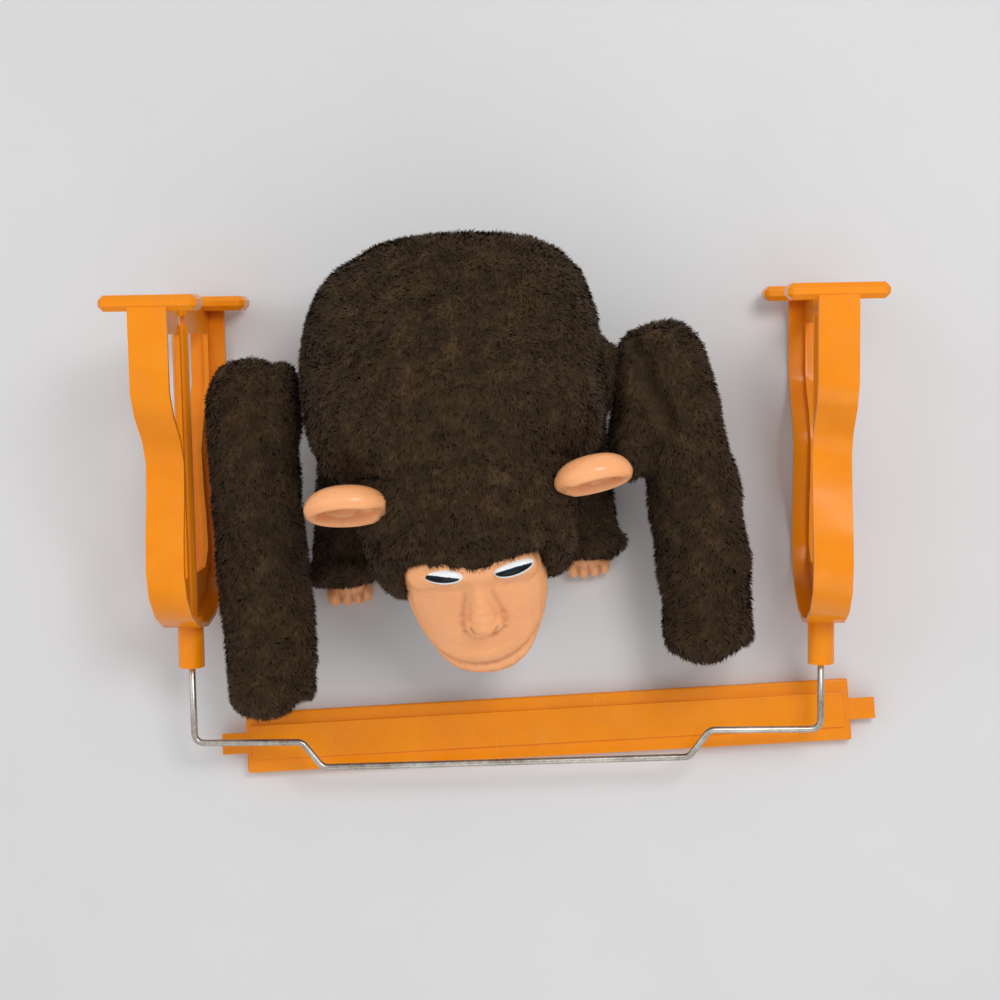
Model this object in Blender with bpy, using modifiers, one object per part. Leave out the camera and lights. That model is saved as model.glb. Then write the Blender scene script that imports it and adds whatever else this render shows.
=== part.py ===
"""Battery-operated plush chimp with its swing frame, laid out as it is stored.

The chimp sits bent forward. The swing frame lies on its back around it: two moulded side stands
joined by a stepped wire bar. The spreader beam lies on the floor in front.
X runs across the toy, +Y behind the chimp, +Z up. The origin is the bottom centre of the whole.
"""

import bmesh
import bpy
from math import atan2, cos, hypot, pi, radians, sin
from mathutils import Euler, Matrix, Vector

GAP = 0.0003
OVERCUT = 0.002

# Side stands
STAND_SPAN = 0.396
FOOT_WIDTH = 0.058
FOOT_THICKNESS = 0.0094
FOOT_DEPTH = 0.022
FOOT_ROUND = 0.003
FOOT_LIP = 0.0004
STRIP_FOOT = 0.007
STRIP_WIDTH = 0.023
STRIP_WALL = 0.003
WEB_WALL = 0.003
BASE_HALF_DEPTH = 0.080
WAIST_HALF_DEPTH = 0.050
BELLY_HALF_DEPTH = 0.060
STRAIGHT_END = 0.057
WAIST_HEIGHT = 0.100
BELLY_HEIGHT = 0.165
CROWN_HEIGHT = 0.208
CROSS_PLATE_TOP = 0.0235
COLUMN_INSET = 0.0014
SOCKET_ROOT = 0.0063
WEB_SINK = 0.0013
COLUMN_RADIUS = 0.00515
WINDOW_MARGIN = 0.006
WINDOW_TOP = 0.176
SOCKET_RADIUS = 0.0082
SOCKET_TOP = 0.234
SOCKET_BORE_DEPTH = 0.024
STAND_Y = 0.137

# Wire bar
WIRE_RADIUS = 0.0021
WIRE_CLEARANCE = 0.0002
WIRE_SHOULDER = 0.2798
WIRE_STEP = 0.0168
WIRE_SKEW = 0.0038
WIRE_CENTRE_HALF = 0.116
WIRE_STEP_RUN = 0.013
WIRE_BEND_RADIUS = 0.007

# Spreader beam
BEAM_LENGTH = 0.391
BEAM_WIDTH = 0.039
BEAM_HEIGHT = 0.0095
BEAM_WALL = 0.0022
BEAM_RIDGE_WIDTH = 0.022
BEAM_RIDGE_HEIGHT = 0.0022
BEAM_RIB_COUNT = 5
TAB_WIDTH = 0.0135
TAB_LENGTH = 0.016
TAB_THICKNESS = 0.0044
TAB_CLEARANCE = 0.0006
BEAM_PLACE = (0.025, -0.1335)
BEAM_YAW = radians(3.0)

# Chimp layout
CHIMP_PLACE = (-0.022, 0.027)
CHIMP_YAW = radians(5.5)
SHOULDER_Y = 0.044
SHOULDER_Z = 0.092
TORSO_TILT = radians(23)

# Torso
TORSO_HALF = Vector((0.091, 0.0795, 0.064))
TORSO_CENTRE = Vector((0.002, 0.0105, 0.014))
FORM_SWELL = 1.035
OUTER_CAGE = (6, 12, 1.01)
INNER_CAGE = (6, 8, 1.035)
LIMB_SIDES = 8
PLUSH_THICKNESS = 0.010
CASING_SLACK = 0.0006
CASING_WALL = 0.0025
BARREL_POWER = 2.6
TORSO_BLUNTNESS = 4.4

# Head
HEAD_HALF = Vector((0.069, 0.045, 0.056))
HEAD_CENTRE = Vector((0.005, -0.016, 0.113))
HEAD_PLUSH_THICKNESS = 0.014
HEAD_SHELL_WALL = 0.0025
FACE_CENTRE = Vector((0.005, -0.082, 0.092))
FACE_PITCH = radians(47)
FACE_HALF_WIDTH = 0.043
FACE_DEPTH = 0.019
# Rings of the face from chin to brow: up, across, out, half width, half depth
FACE_RINGS = (
    (-0.052, 0, 0.005, 0.015, 0.008),
    (-0.042, 0, 0.003, 0.029, 0.015),
    (-0.020, 0, 0.002, 0.037, 0.018),
    (0.006, 0, 0.001, FACE_HALF_WIDTH, FACE_DEPTH),
    (0.030, 0, 0.003, FACE_HALF_WIDTH, FACE_DEPTH),
    (0.047, 0, 0.004, 0.040, 0.018),
    (0.056, 0, 0.003, 0.025, 0.009),
)
NOSE_RINGS = (
    (0.034, 0, 0.014, 0.003, 0.004),
    (0.020, 0, 0.017, 0.0055, 0.006),
    (0.004, 0, 0.018, 0.0075, 0.009),
    (-0.005, 0, 0.018, 0.0105, 0.009),
    (-0.010, 0, 0.016, 0.007, 0.006),
)
EYE_HALF = Vector((0.0120, 0.0070, 0.0060))
EYE_SPACING = 0.0205
EYE_HEIGHT = 0.0405
EYE_DEPTH = 0.0165
EYE_TILT = radians(14)
EAR_RADIUS = 0.0232
EAR_THICKNESS = 0.0075
EAR_DISH = 0.0045
EAR_PLACE = {"left": (-0.0640, -0.0205, 0.147), "right": (0.0792, -0.0185, 0.147)}
EAR_PITCH = radians(69)
EAR_TURN = {"left": radians(3), "right": radians(12)}
NECK_RADIUS = 0.010
NECK_REACH = 0.042
NECK_RISE = 0.007

# Arms and hands
ARM_REACH = {"left": 0.178, "right": 0.171}
ARM_BACK = {"left": 0.038, "right": 0.032}
ARM_DROOP = radians(14)
ARM_HALF_WIDTH = 0.0288
ARM_HALF_HEIGHT = 0.029
ARM_OUT = {"left": 0.128, "right": 0.129}
ARM_DRIFT = {"left": -0.0085, "right": 0.010}
ARM_BOW = {"left": 0.0025, "right": 0.008}
# Rings of a sleeve: place along it as a share of its length, then width and height shares
ARM_BACK_RINGS = ((1.0, 0.45, 0.45), (0.62, 0.86, 0.90))
ARM_RINGS = (
    (0.05, 0.98, 1.06),
    (0.35, 1.08, 0.98),
    (0.68, 1.01, 0.95),
    (0.94, 0.97, 0.96),
    (1.12, 0.92, 0.90),
)
ARM_CORE_SHARE = 0.84
ARM_CORE_WIDTH = 0.008
ARM_CORE_HEIGHT = 0.014
SLEEVE_HALF = 0.019
HAND_LENGTH = 0.040
HAND_HALF_WIDTH = 0.013
HAND_HALF_HEIGHT = 0.0125
GRIP_SLOT = 0.008
GRIP_DEPTH = 0.014
HUB_RADIUS = 0.011
HUB_HALF_WIDTH = 0.008

# Legs and feet
HIP_Y = 0.092
HIP_Z = 0.029
LEG_REACH = 0.152
LEG_BACK = 0.026
LEG_HALF_WIDTH = 0.026
LEG_HALF_HEIGHT = 0.0245
HIP_OUT = 0.057
LEG_DRIFT = {"left": -0.031, "right": 0.013}
# Rings of a leg: place along it as a share, width and height shares, and how far it sinks
LEG_BACK_RINGS = ((1.0, 0.45, 0.5, 0.3), (0.6, 0.88, 0.9, 0.15))
LEG_RINGS = (
    (0.08, 1.05, 1.12, 0.1),
    (0.4, 1.02, 1.10, 0.9),
    (0.75, 0.96, 1.02, 1.1),
    (1.0, 0.86, 0.92, 1.15),
    (1.14, 0.6, 0.65, 1.15),
)
LEG_CLEARANCE = 0.0008
HIP_SWEEP = (0, 6, 12, 18, 24)
FOOT_LENGTH = 0.0115
FOOT_HALF_WIDTH = 0.0145
FOOT_HALF_HEIGHT = 0.0125
TOE_COUNT = 5
TOE_RADIUS = 0.0042
SOLE_CUT = 0.0005

# Drive
SHAFT_RADIUS = 0.004
BEARING_CLEARANCE = 0.0003
TOOTH_MODULE = 0.0015
BACKLASH = 0.0006
PINION_TEETH = 8
WHEEL_TEETH = 24
SMALL_TEETH = 9
OUTPUT_TEETH = 26
GEAR_WIDTH = 0.005
GEAR_SPACE = 0.0008
PLATE_WALL = 0.002
PLATE_LEFT_X = 0.0305
IDLER_ANGLE = radians(68)
MOTOR_ANGLE = radians(10)
PIN_RADIUS = 0.0015
MOTOR_SHAFT_RADIUS = 0.0012
BOLT_RADIUS = 0.0015
BOLT_HOLE_SLACK = 0.0002
BOLT_PLACES = ((-0.0065, 0.0395), (0.0430, 0.0020), (0.0460, 0.0390))
PLATE_CORNER = Vector((-0.0100, -0.0080))
MOTOR_RADIUS = 0.012
MOTOR_LENGTH = 0.030

# Batteries
CELL_RADIUS = 0.0131
CELL_LENGTH = 0.050
CELL_CLEARANCE = 0.0006
TRAY_WALL = 0.002
CELL_NUB = 0.0015
TRAY_FLOOR_Z = -0.0078
TRAY_RIM_Z = -0.0363
TRAY_LOW_Y = -0.0015
TRAY_HIGH_Y = TRAY_LOW_Y + 2 * (TRAY_WALL + 2 * CELL_RADIUS) + 3 * CELL_CLEARANCE
TRAY_HALF_X = CELL_LENGTH / 2 + 0.0014 + TRAY_WALL
CONTACT_WALL = 0.0006
DOOR_WALL = 0.0025
SWITCH_TRAVEL = 0.005
SWITCH_HOUSING_X = 0.0155
SLIDER_X = -TRAY_HALF_X - 0.008
SLIDER_HALF_X = 0.0035
SLIDER_LENGTH = 0.009
SLIDER_Y = 0.016
SWITCH_LOW = Vector((-TRAY_HALF_X - GAP - SWITCH_HOUSING_X, SLIDER_Y - 0.004, TRAY_RIM_Z + 0.008))
SWITCH_HIGH = Vector((-TRAY_HALF_X - GAP, SLIDER_Y + SLIDER_LENGTH + SWITCH_TRAVEL + 0.004, -0.014))

# Hip lug, in the torso's axes
HIP_OFFSET = Vector((0, HIP_Y - SHOULDER_Y, HIP_Z - SHOULDER_Z))
HIP_LOCAL = Matrix.Rotation(TORSO_TILT, 3, "X") @ HIP_OFFSET
LUG_HALF = Vector((0.012, 0.009, 0.008))
LUG_RISE = 0.012

YELLOW = ((1.0, 0.37, 0.0), 0.28, 0.0)
FUR = ((0.045, 0.027, 0.016), 0.95, 0.0)
PEACH = ((0.80, 0.36, 0.19), 0.35, 0.0)
STEEL = ((0.55, 0.53, 0.50), 0.3, 1.0)
CASING = ((0.20, 0.17, 0.14), 0.5, 0.0)
NYLON = ((0.80, 0.78, 0.70), 0.4, 0.0)
BRASS = ((0.72, 0.52, 0.20), 0.35, 1.0)
EYE = ((0.85, 0.87, 0.88), 0.12, 0.0)
CELL = ((0.25, 0.26, 0.28), 0.4, 0.3)


class Workshop:
    """The scene's collections and the objects that carry the pieces."""

    def __init__(self):
        for obj in list(bpy.data.objects):
            bpy.data.objects.remove(obj)
        self.parts = bpy.data.collections.new("chimp_toy")
        self.cutters = bpy.data.collections.new("cutters")
        for collection in (self.parts, self.cutters):
            bpy.context.scene.collection.children.link(collection)
        self.layout = self.empty("layout")

    def empty(self, name, parent=None, place=(0, 0, 0), turn=(0, 0, 0)):
        """An axis cross that pieces hang on."""
        cross = bpy.data.objects.new(name, None)
        self.parts.objects.link(cross)
        cross.parent = parent
        cross.location = place
        cross.rotation_euler = Euler(turn)
        return cross

    def piece(self, name, mesh, parent, finish, place=(0, 0, 0), turn=(0, 0, 0)):
        """A visible sub-part with its own material."""
        obj = bpy.data.objects.new(name, mesh)
        self.parts.objects.link(obj)
        obj.parent = parent
        obj.location = place
        obj.rotation_euler = Euler(turn)
        mesh.materials.append(material(name, *finish))
        return obj

    def helper(self, name, mesh, parent, place=(0, 0, 0), turn=(0, 0, 0)):
        """A hidden shape for a Boolean."""
        obj = bpy.data.objects.new(name, mesh)
        self.cutters.objects.link(obj)
        obj.parent = parent
        obj.location = place
        obj.rotation_euler = Euler(turn)
        obj.hide_render = True
        obj.display_type = "WIRE"
        return obj


def material(name, colour, roughness, metallic):
    made = bpy.data.materials.new(name)
    made.use_nodes = True
    shader = made.node_tree.nodes["Principled BSDF"]
    shader.inputs["Base Color"].default_value = (*colour, 1)
    shader.inputs["Roughness"].default_value = roughness
    shader.inputs["Metallic"].default_value = metallic
    return made


def boolean(obj, other, operation):
    modifier = obj.modifiers.new(f"{operation.lower()}_{other.name}", "BOOLEAN")
    modifier.operation = operation
    modifier.solver = "MANIFOLD"
    modifier.object = other


def cut(obj, *others):
    for other in others:
        boolean(obj, other, "DIFFERENCE")


def fuse(obj, *others):
    for other in others:
        boolean(obj, other, "UNION")


def finish_mesh(name, shape, smooth_angle=None):
    mesh = bpy.data.meshes.new(name)
    shape.to_mesh(mesh)
    shape.free()
    if smooth_angle is not None:
        mesh.shade_smooth()
        mesh.set_sharp_from_angle(angle=smooth_angle)
    return mesh


def box(name, low, high, rounding=0.0):
    """A box between two corners, its edges rounded if asked."""
    low, high = Vector(low), Vector(high)
    shape = bmesh.new()
    bmesh.ops.create_cube(shape, size=1.0)
    bmesh.ops.scale(shape, vec=high - low, verts=shape.verts)
    bmesh.ops.translate(shape, vec=(low + high) / 2, verts=shape.verts)
    if rounding:
        bmesh.ops.bevel(shape, geom=shape.edges[:], offset=rounding, segments=1, affect="EDGES")
    return finish_mesh(name, shape)


def cylinder(name, radius, start, end, axis="X", centre=(0, 0), sides=24, end_radius=None):
    """A cylinder or cone along a local axis, with its centre in the other two."""
    shape = bmesh.new()
    bmesh.ops.create_cone(
        shape,
        cap_ends=True,
        segments=sides,
        radius1=radius,
        radius2=radius if end_radius is None else end_radius,
        depth=end - start,
    )
    middle = (start + end) / 2
    if axis == "X":
        turn, place = Matrix.Rotation(pi / 2, 4, "Y"), (middle, *centre)
    elif axis == "Y":
        turn, place = Matrix.Rotation(-pi / 2, 4, "X"), (centre[0], middle, centre[1])
    else:
        turn, place = Matrix.Identity(4), (*centre, middle)
    bmesh.ops.transform(shape, matrix=Matrix.Translation(place) @ turn, verts=shape.verts)
    return finish_mesh(name, shape, radians(40))


def plate(name, loops, thickness, turn=Matrix.Identity(4)):
    """A flat outline with its holes, thickened evenly to both sides of its plane."""
    curve = bpy.data.curves.new(name, "CURVE")
    curve.dimensions = "2D"
    curve.fill_mode = "BOTH"
    curve.extrude = thickness / 2
    for loop in loops:
        spline = curve.splines.new("POLY")
        spline.points.add(len(loop) - 1)
        for point, (a, b) in zip(spline.points, loop):
            point.co = (a, b, 0, 1)
        spline.use_cyclic_u = True
    guide = bpy.data.objects.new(name, curve)
    bpy.context.scene.collection.objects.link(guide)
    graph = bpy.context.evaluated_depsgraph_get()
    mesh = bpy.data.meshes.new_from_object(guide.evaluated_get(graph))
    bpy.data.objects.remove(guide)
    shape = bmesh.new()
    shape.from_mesh(mesh)
    bpy.data.meshes.remove(mesh)
    bmesh.ops.remove_doubles(shape, verts=shape.verts, dist=1e-6)
    bmesh.ops.transform(shape, matrix=turn, verts=shape.verts)
    bmesh.ops.recalc_face_normals(shape, faces=shape.faces)
    return finish_mesh(name, shape)


def wire(name, points, radius, sides_step=1):
    """A round wire along points, with closed ends."""
    curve = bpy.data.curves.new(name, "CURVE")
    curve.dimensions = "3D"
    curve.bevel_depth = radius
    curve.bevel_resolution = sides_step
    curve.use_fill_caps = True
    spline = curve.splines.new("POLY")
    spline.points.add(len(points) - 1)
    for point, place in zip(spline.points, points):
        point.co = (*place, 1)
    return curve


def pod(name, stations, sides, power):
    """A cage for a swelling form along Y: rings as (y, x, z, half width, half height)."""
    shape = bmesh.new()
    rings = []
    for y, x, z, half_width, half_height in stations:
        ring = []
        for index in range(sides):
            angle = 2 * pi * (index + 0.5) / sides
            c, s = cos(angle), sin(angle)
            reach = (abs(c) ** power + abs(s) ** power) ** (-1 / power)
            across, up = FORM_SWELL * half_width * reach, FORM_SWELL * half_height * reach
            ring.append(shape.verts.new((x + across * c, y, z + up * s)))
        rings.append(ring)
    for near, far in zip(rings, rings[1:]):
        for index in range(sides):
            after = (index + 1) % sides
            shape.faces.new((near[index], near[after], far[after], far[index]))
    shape.faces.new(rings[0][::-1])
    shape.faces.new(rings[-1])
    bmesh.ops.recalc_face_normals(shape, faces=shape.faces)
    return finish_mesh(name, shape, radians(60))


def soften(obj):
    """Rounds a cage once."""
    modifier = obj.modifiers.new("soft", "SUBSURF")
    modifier.levels = 1
    modifier.render_levels = 1


def barrel_stations(centre, half, rings, power=BARREL_POWER):
    """Stations of a blunt egg: an ellipsoid with fuller shoulders."""
    stations = []
    for index in range(rings):
        angle = pi * (index + 0.35) / (rings - 0.3)
        along = cos(angle)
        across = (1 - abs(along) ** power) ** (1 / power)
        stations.append(
            (centre.y + half.y * along, centre.x, centre.z, half.x * across, half.z * across)
        )
    return stations


def blend(a, b, share):
    """An S curve from a to b."""
    return a + (b - a) * (1 - cos(pi * share)) / 2


def stand_half_outline():
    """The stand's outer side from the sole to the crown, as (height, half depth)."""
    points = [(STRIP_FOOT, BASE_HALF_DEPTH), (STRAIGHT_END, BASE_HALF_DEPTH)]
    for start, end, deep, shallow in (
        (STRAIGHT_END, WAIST_HEIGHT, BASE_HALF_DEPTH, WAIST_HALF_DEPTH),
        (WAIST_HEIGHT, BELLY_HEIGHT, WAIST_HALF_DEPTH, BELLY_HALF_DEPTH),
    ):
        steps = 3
        for step in range(1, steps + 1):
            share = step / steps
            points.append((start + (end - start) * share, blend(deep, shallow, share)))
    steps = 4
    for step in range(1, steps + 1):
        angle = pi / 2 * step / steps
        height = BELLY_HEIGHT + (CROWN_HEIGHT - BELLY_HEIGHT) * sin(angle)
        points.append((height, BELLY_HALF_DEPTH * cos(angle)))
    return points


def inset(points, amount):
    """The same outline moved inward by an even wall."""
    moved = []
    for index, (u, v) in enumerate(points):
        before = points[max(index - 1, 0)]
        after = points[min(index + 1, len(points) - 1)]
        du, dv = after[0] - before[0], after[1] - before[1]
        length = hypot(du, dv)
        moved.append((u + amount * dv / length, v - amount * du / length))
    return moved


def both_sides(half):
    """An outline from one half, up to the shared crown point and down the other side."""
    return half[:-1] + [(half[-1][0], 0.0)] + [(u, -v) for u, v in reversed(half[:-1])]


def strip_loop(outline):
    """The outer strip as one bent band, its two ends inside the sole plates."""
    return both_sides(outline) + both_sides(inset(outline, STRIP_WALL))[::-1]


def rest_angle():
    """How far the stand tips on its back, from base to belly, and its lowest point's reach."""
    half = stand_half_outline()
    angle = min(
        atan2(BASE_HALF_DEPTH - v, u - STRAIGHT_END) for u, v in half if u > WAIST_HEIGHT
    )
    reach = max(v * cos(angle) + u * sin(angle) for u, v in half)
    return angle, reach


ON_EDGE = Matrix(((0, 0, -1, 0), (-1, 0, 0, 0), (0, 1, 0, 0), (0, 0, 0, 1)))


def window_loop(side):
    """A window between the column and the outer strip, as (height, depth)."""
    inner = COLUMN_RADIUS + WINDOW_MARGIN / 2
    half = [p for p in inset(stand_half_outline(), STRIP_WALL + WINDOW_MARGIN)]
    outer = [(u, v) for u, v in half if CROSS_PLATE_TOP < u < WINDOW_TOP]
    outer.insert(0, (CROSS_PLATE_TOP, outer[0][1]))
    loop = [(CROSS_PLATE_TOP, inner)] + outer + [(WINDOW_TOP, outer[-1][1] * 0.8), (WINDOW_TOP, inner)]
    return [(u, side * v) for u, v in loop]


def stand(shop, side_name, side, frame_axes):
    """A side stand: two sole plates, the curved outer strip, web, column and wire socket."""
    axes = shop.empty(f"stand_{side_name}_axes", frame_axes, (side * STAND_SPAN / 2, 0, 0))
    outline = stand_half_outline()
    ring = plate(
        f"strip_{side_name}",
        [strip_loop(outline)],
        STRIP_WIDTH,
        ON_EDGE,
    )
    body = shop.piece(f"stand_{side_name}", ring, axes, YELLOW)
    middle = inset(outline, STRIP_WALL / 2)
    middle[0] = (STRIP_FOOT - WEB_SINK, middle[0][1])
    web = plate(
        f"web_{side_name}",
        [both_sides(middle), window_loop(1), window_loop(-1)],
        WEB_WALL,
        ON_EDGE,
    )
    extras = [shop.helper(f"web_{side_name}", web, axes)]
    for end in (1, -1):
        outer, inner = BASE_HALF_DEPTH + FOOT_LIP, BASE_HALF_DEPTH - FOOT_DEPTH
        low, high = sorted((end * outer, end * inner))
        sole = box(
            f"sole_{side_name}",
            (-FOOT_WIDTH / 2, -FOOT_THICKNESS, low),
            (FOOT_WIDTH / 2, 0, high),
            FOOT_ROUND,
        )
        extras.append(shop.helper(f"sole_{side_name}", sole, axes))
    crown, foot_end = -CROWN_HEIGHT + COLUMN_INSET, -STRIP_FOOT - COLUMN_INSET
    column = cylinder(f"column_{side_name}", COLUMN_RADIUS, crown, foot_end, "Y", sides=10)
    extras.append(shop.helper(f"column_{side_name}", column, axes))
    root = -CROWN_HEIGHT + SOCKET_ROOT
    socket = cylinder(f"socket_{side_name}", SOCKET_RADIUS, -SOCKET_TOP, root, "Y", sides=14)
    extras.append(shop.helper(f"socket_{side_name}", socket, axes))
    fuse(body, *extras)
    bore = cylinder(
        f"wire_bore_{side_name}",
        WIRE_RADIUS + WIRE_CLEARANCE,
        -SOCKET_TOP - OVERCUT,
        -SOCKET_TOP + SOCKET_BORE_DEPTH,
        "Y",
        sides=12,
    )
    half_tab = Vector((STRIP_WIDTH, TAB_THICKNESS / 2, TAB_WIDTH / 2))
    half_tab += Vector((0, TAB_CLEARANCE, TAB_CLEARANCE))
    slot_at = Vector((0, -tab_slot_height(), 0))
    slot = box(f"tab_slot_{side_name}", slot_at - half_tab, slot_at + half_tab)
    cut(
        body,
        shop.helper(f"wire_bore_{side_name}", bore, axes),
        shop.helper(f"tab_slot_{side_name}", slot, axes),
    )
    return body


def tab_slot_height():
    """The middle of the cross plate, where the beam's tab goes in."""
    return (CROSS_PLATE_TOP + FOOT_THICKNESS) / 2 - 0.001


def wire_route():
    """The bar's route: up from each socket, in along the shoulder, down the step, across."""
    half = STAND_SPAN / 2
    seat = SOCKET_TOP - SOCKET_BORE_DEPTH + 0.001
    corners = []
    for side in (-1, 1):
        shift = -side * WIRE_SKEW
        arm = [
            (side * half, seat),
            (side * half, WIRE_SHOULDER + shift),
            (side * (WIRE_CENTRE_HALF + WIRE_STEP_RUN), WIRE_SHOULDER + shift * 0.9),
            (side * WIRE_CENTRE_HALF, WIRE_SHOULDER + WIRE_STEP + shift * 0.8),
        ]
        corners += arm if side < 0 else arm[::-1]
    route = [corners[0]]
    for before, corner, after in zip(corners, corners[1:], corners[2:]):
        route += rounded(before, corner, after, WIRE_BEND_RADIUS)
    route.append(corners[-1])
    return [Vector((x, -u, 0)) for x, u in route]


def rounded(before, corner, after, radius, steps=4):
    """A bend between two straights."""
    a, b, c = Vector(before), Vector(corner), Vector(after)
    back, on = (a - b).normalized(), (c - b).normalized()
    half_angle = back.angle(on) / 2
    setback = radius * cos(half_angle) / sin(half_angle)
    start, end = b + back * setback, b + on * setback
    centre = b + (back + on).normalized() * radius / sin(half_angle)
    points = []
    for step in range(steps + 1):
        share = step / steps
        towards = (start - centre).slerp(end - centre, share)
        points.append(tuple(centre + towards.normalized() * radius))
    return points


def wire_bar(shop, frame_axes):
    curve = wire("wire_bar", wire_route(), WIRE_RADIUS)
    return shop.piece("wire_bar", curve, frame_axes, STEEL)


def spreader_beam(shop):
    """A trough-shaped beam, open beneath, with a raised ridge, cross ribs and two end tabs."""
    axes = shop.empty("beam_axes", shop.layout, (*BEAM_PLACE, 0), (0, 0, BEAM_YAW))
    half = BEAM_LENGTH / 2
    body = box(
        "spreader_beam", (-half, -BEAM_WIDTH / 2, 0), (half, BEAM_WIDTH / 2, BEAM_HEIGHT), 0.0008
    )
    beam = shop.piece("spreader_beam", body, axes, YELLOW)
    ridge = box(
        "ridge",
        (-half + 0.004, -BEAM_RIDGE_WIDTH / 2, BEAM_HEIGHT - 0.001),
        (half - 0.004, BEAM_RIDGE_WIDTH / 2, BEAM_HEIGHT + BEAM_RIDGE_HEIGHT),
    )
    tab = box(
        "tabs",
        (-half - TAB_LENGTH, -TAB_WIDTH / 2, BEAM_HEIGHT - TAB_THICKNESS),
        (half + TAB_LENGTH, TAB_WIDTH / 2, BEAM_HEIGHT - 0.0003),
    )
    cell = (BEAM_LENGTH - BEAM_WALL * (BEAM_RIB_COUNT + 2)) / (BEAM_RIB_COUNT + 1)
    cells = []
    for index in range(BEAM_RIB_COUNT + 1):
        start = -half + BEAM_WALL + index * (cell + BEAM_WALL)
        cells.append(
            box(
                f"cell_{index}",
                (start, -BEAM_WIDTH / 2 + BEAM_WALL, -OVERCUT),
                (start + cell, BEAM_WIDTH / 2 - BEAM_WALL, BEAM_HEIGHT - TAB_THICKNESS - 0.0004),
            )
        )
    fuse(beam, shop.helper("ridge", ridge, axes), shop.helper("tabs", tab, axes))
    cut(beam, *(shop.helper(mesh.name, mesh, axes) for mesh in cells))
    return beam


def swing_frame(shop):
    angle, reach = rest_angle()
    axes = shop.empty("frame_axes", shop.layout, (0, STAND_Y, reach), (angle, 0, 0))
    wire_bar(shop, axes)
    for name, side in (("left", -1), ("right", 1)):
        stand(shop, name, side, axes)


def torso_form(name, inset_by):
    """The torso's blunt egg, smaller all round by an even amount; inside the fur it is plainer."""
    half = TORSO_HALF - Vector((inset_by, inset_by, inset_by))
    rings, sides, swell = INNER_CAGE if inset_by > GAP else OUTER_CAGE
    return pod(name, barrel_stations(TORSO_CENTRE, half * swell, rings, TORSO_BLUNTNESS), sides, 2.3)


def head_form(name, inset_by):
    """The head's rounder egg, in the same way."""
    half = HEAD_HALF - Vector((inset_by, inset_by, inset_by))
    rings, sides, swell = INNER_CAGE if inset_by > GAP else OUTER_CAGE
    return pod(name, barrel_stations(HEAD_CENTRE, half * swell, rings), sides, 2.15)


def form_helper(shop, mesh, parent):
    """A hidden smoothed form for a Boolean."""
    obj = shop.helper(mesh.name, mesh, parent)
    soften(obj)
    return obj


def ellipsoid(name, half, place=(0, 0, 0), turn=0.0, segments=20, rings=10):
    shape = bmesh.new()
    bmesh.ops.create_uvsphere(shape, u_segments=segments, v_segments=rings, radius=1.0)
    matrix = Matrix.Translation(place) @ Matrix.Rotation(turn, 4, "Z") @ Matrix.Diagonal((*half, 1))
    bmesh.ops.transform(shape, matrix=matrix, verts=shape.verts)
    return finish_mesh(name, shape, radians(60))


def torso_plush(shop, torso):
    plush = shop.piece("torso_plush", torso_form("torso_plush", 0), torso, FUR)
    soften(plush)
    hollow = form_helper(shop, torso_form("plush_hollow", PLUSH_THICKNESS), torso)
    shaft_way = cylinder("plush_shaft_way", SHAFT_RADIUS + 0.002, -0.12, 0.12, sides=16)
    access = box(
        "plush_access",
        (-TRAY_HALF_X - SWITCH_HOUSING_X - 0.004, TRAY_LOW_Y - 0.004, -0.120),
        (TRAY_HALF_X + 0.004, TRAY_HIGH_Y + 0.004, TRAY_FLOOR_Z - 0.002),
    )
    lug_way = box(
        "plush_lug_way",
        HIP_LOCAL - LUG_HALF - Vector((GAP, GAP, 0.06)),
        HIP_LOCAL + LUG_HALF + Vector((GAP, GAP, 0.03)),
    )
    axle_way = cylinder(
        "plush_axle_way", SHAFT_RADIUS + 0.001, -0.08, 0.08, "X", HIP_LOCAL.yz, 16
    )
    cut(
        plush,
        hollow,
        shop.helper("plush_axle_way", axle_way, torso),
        shop.helper("plush_shaft_way", shaft_way, torso),
        shop.helper("plush_access", access, torso),
        shop.helper("plush_lug_way", lug_way, torso),
    )
    return plush


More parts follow.
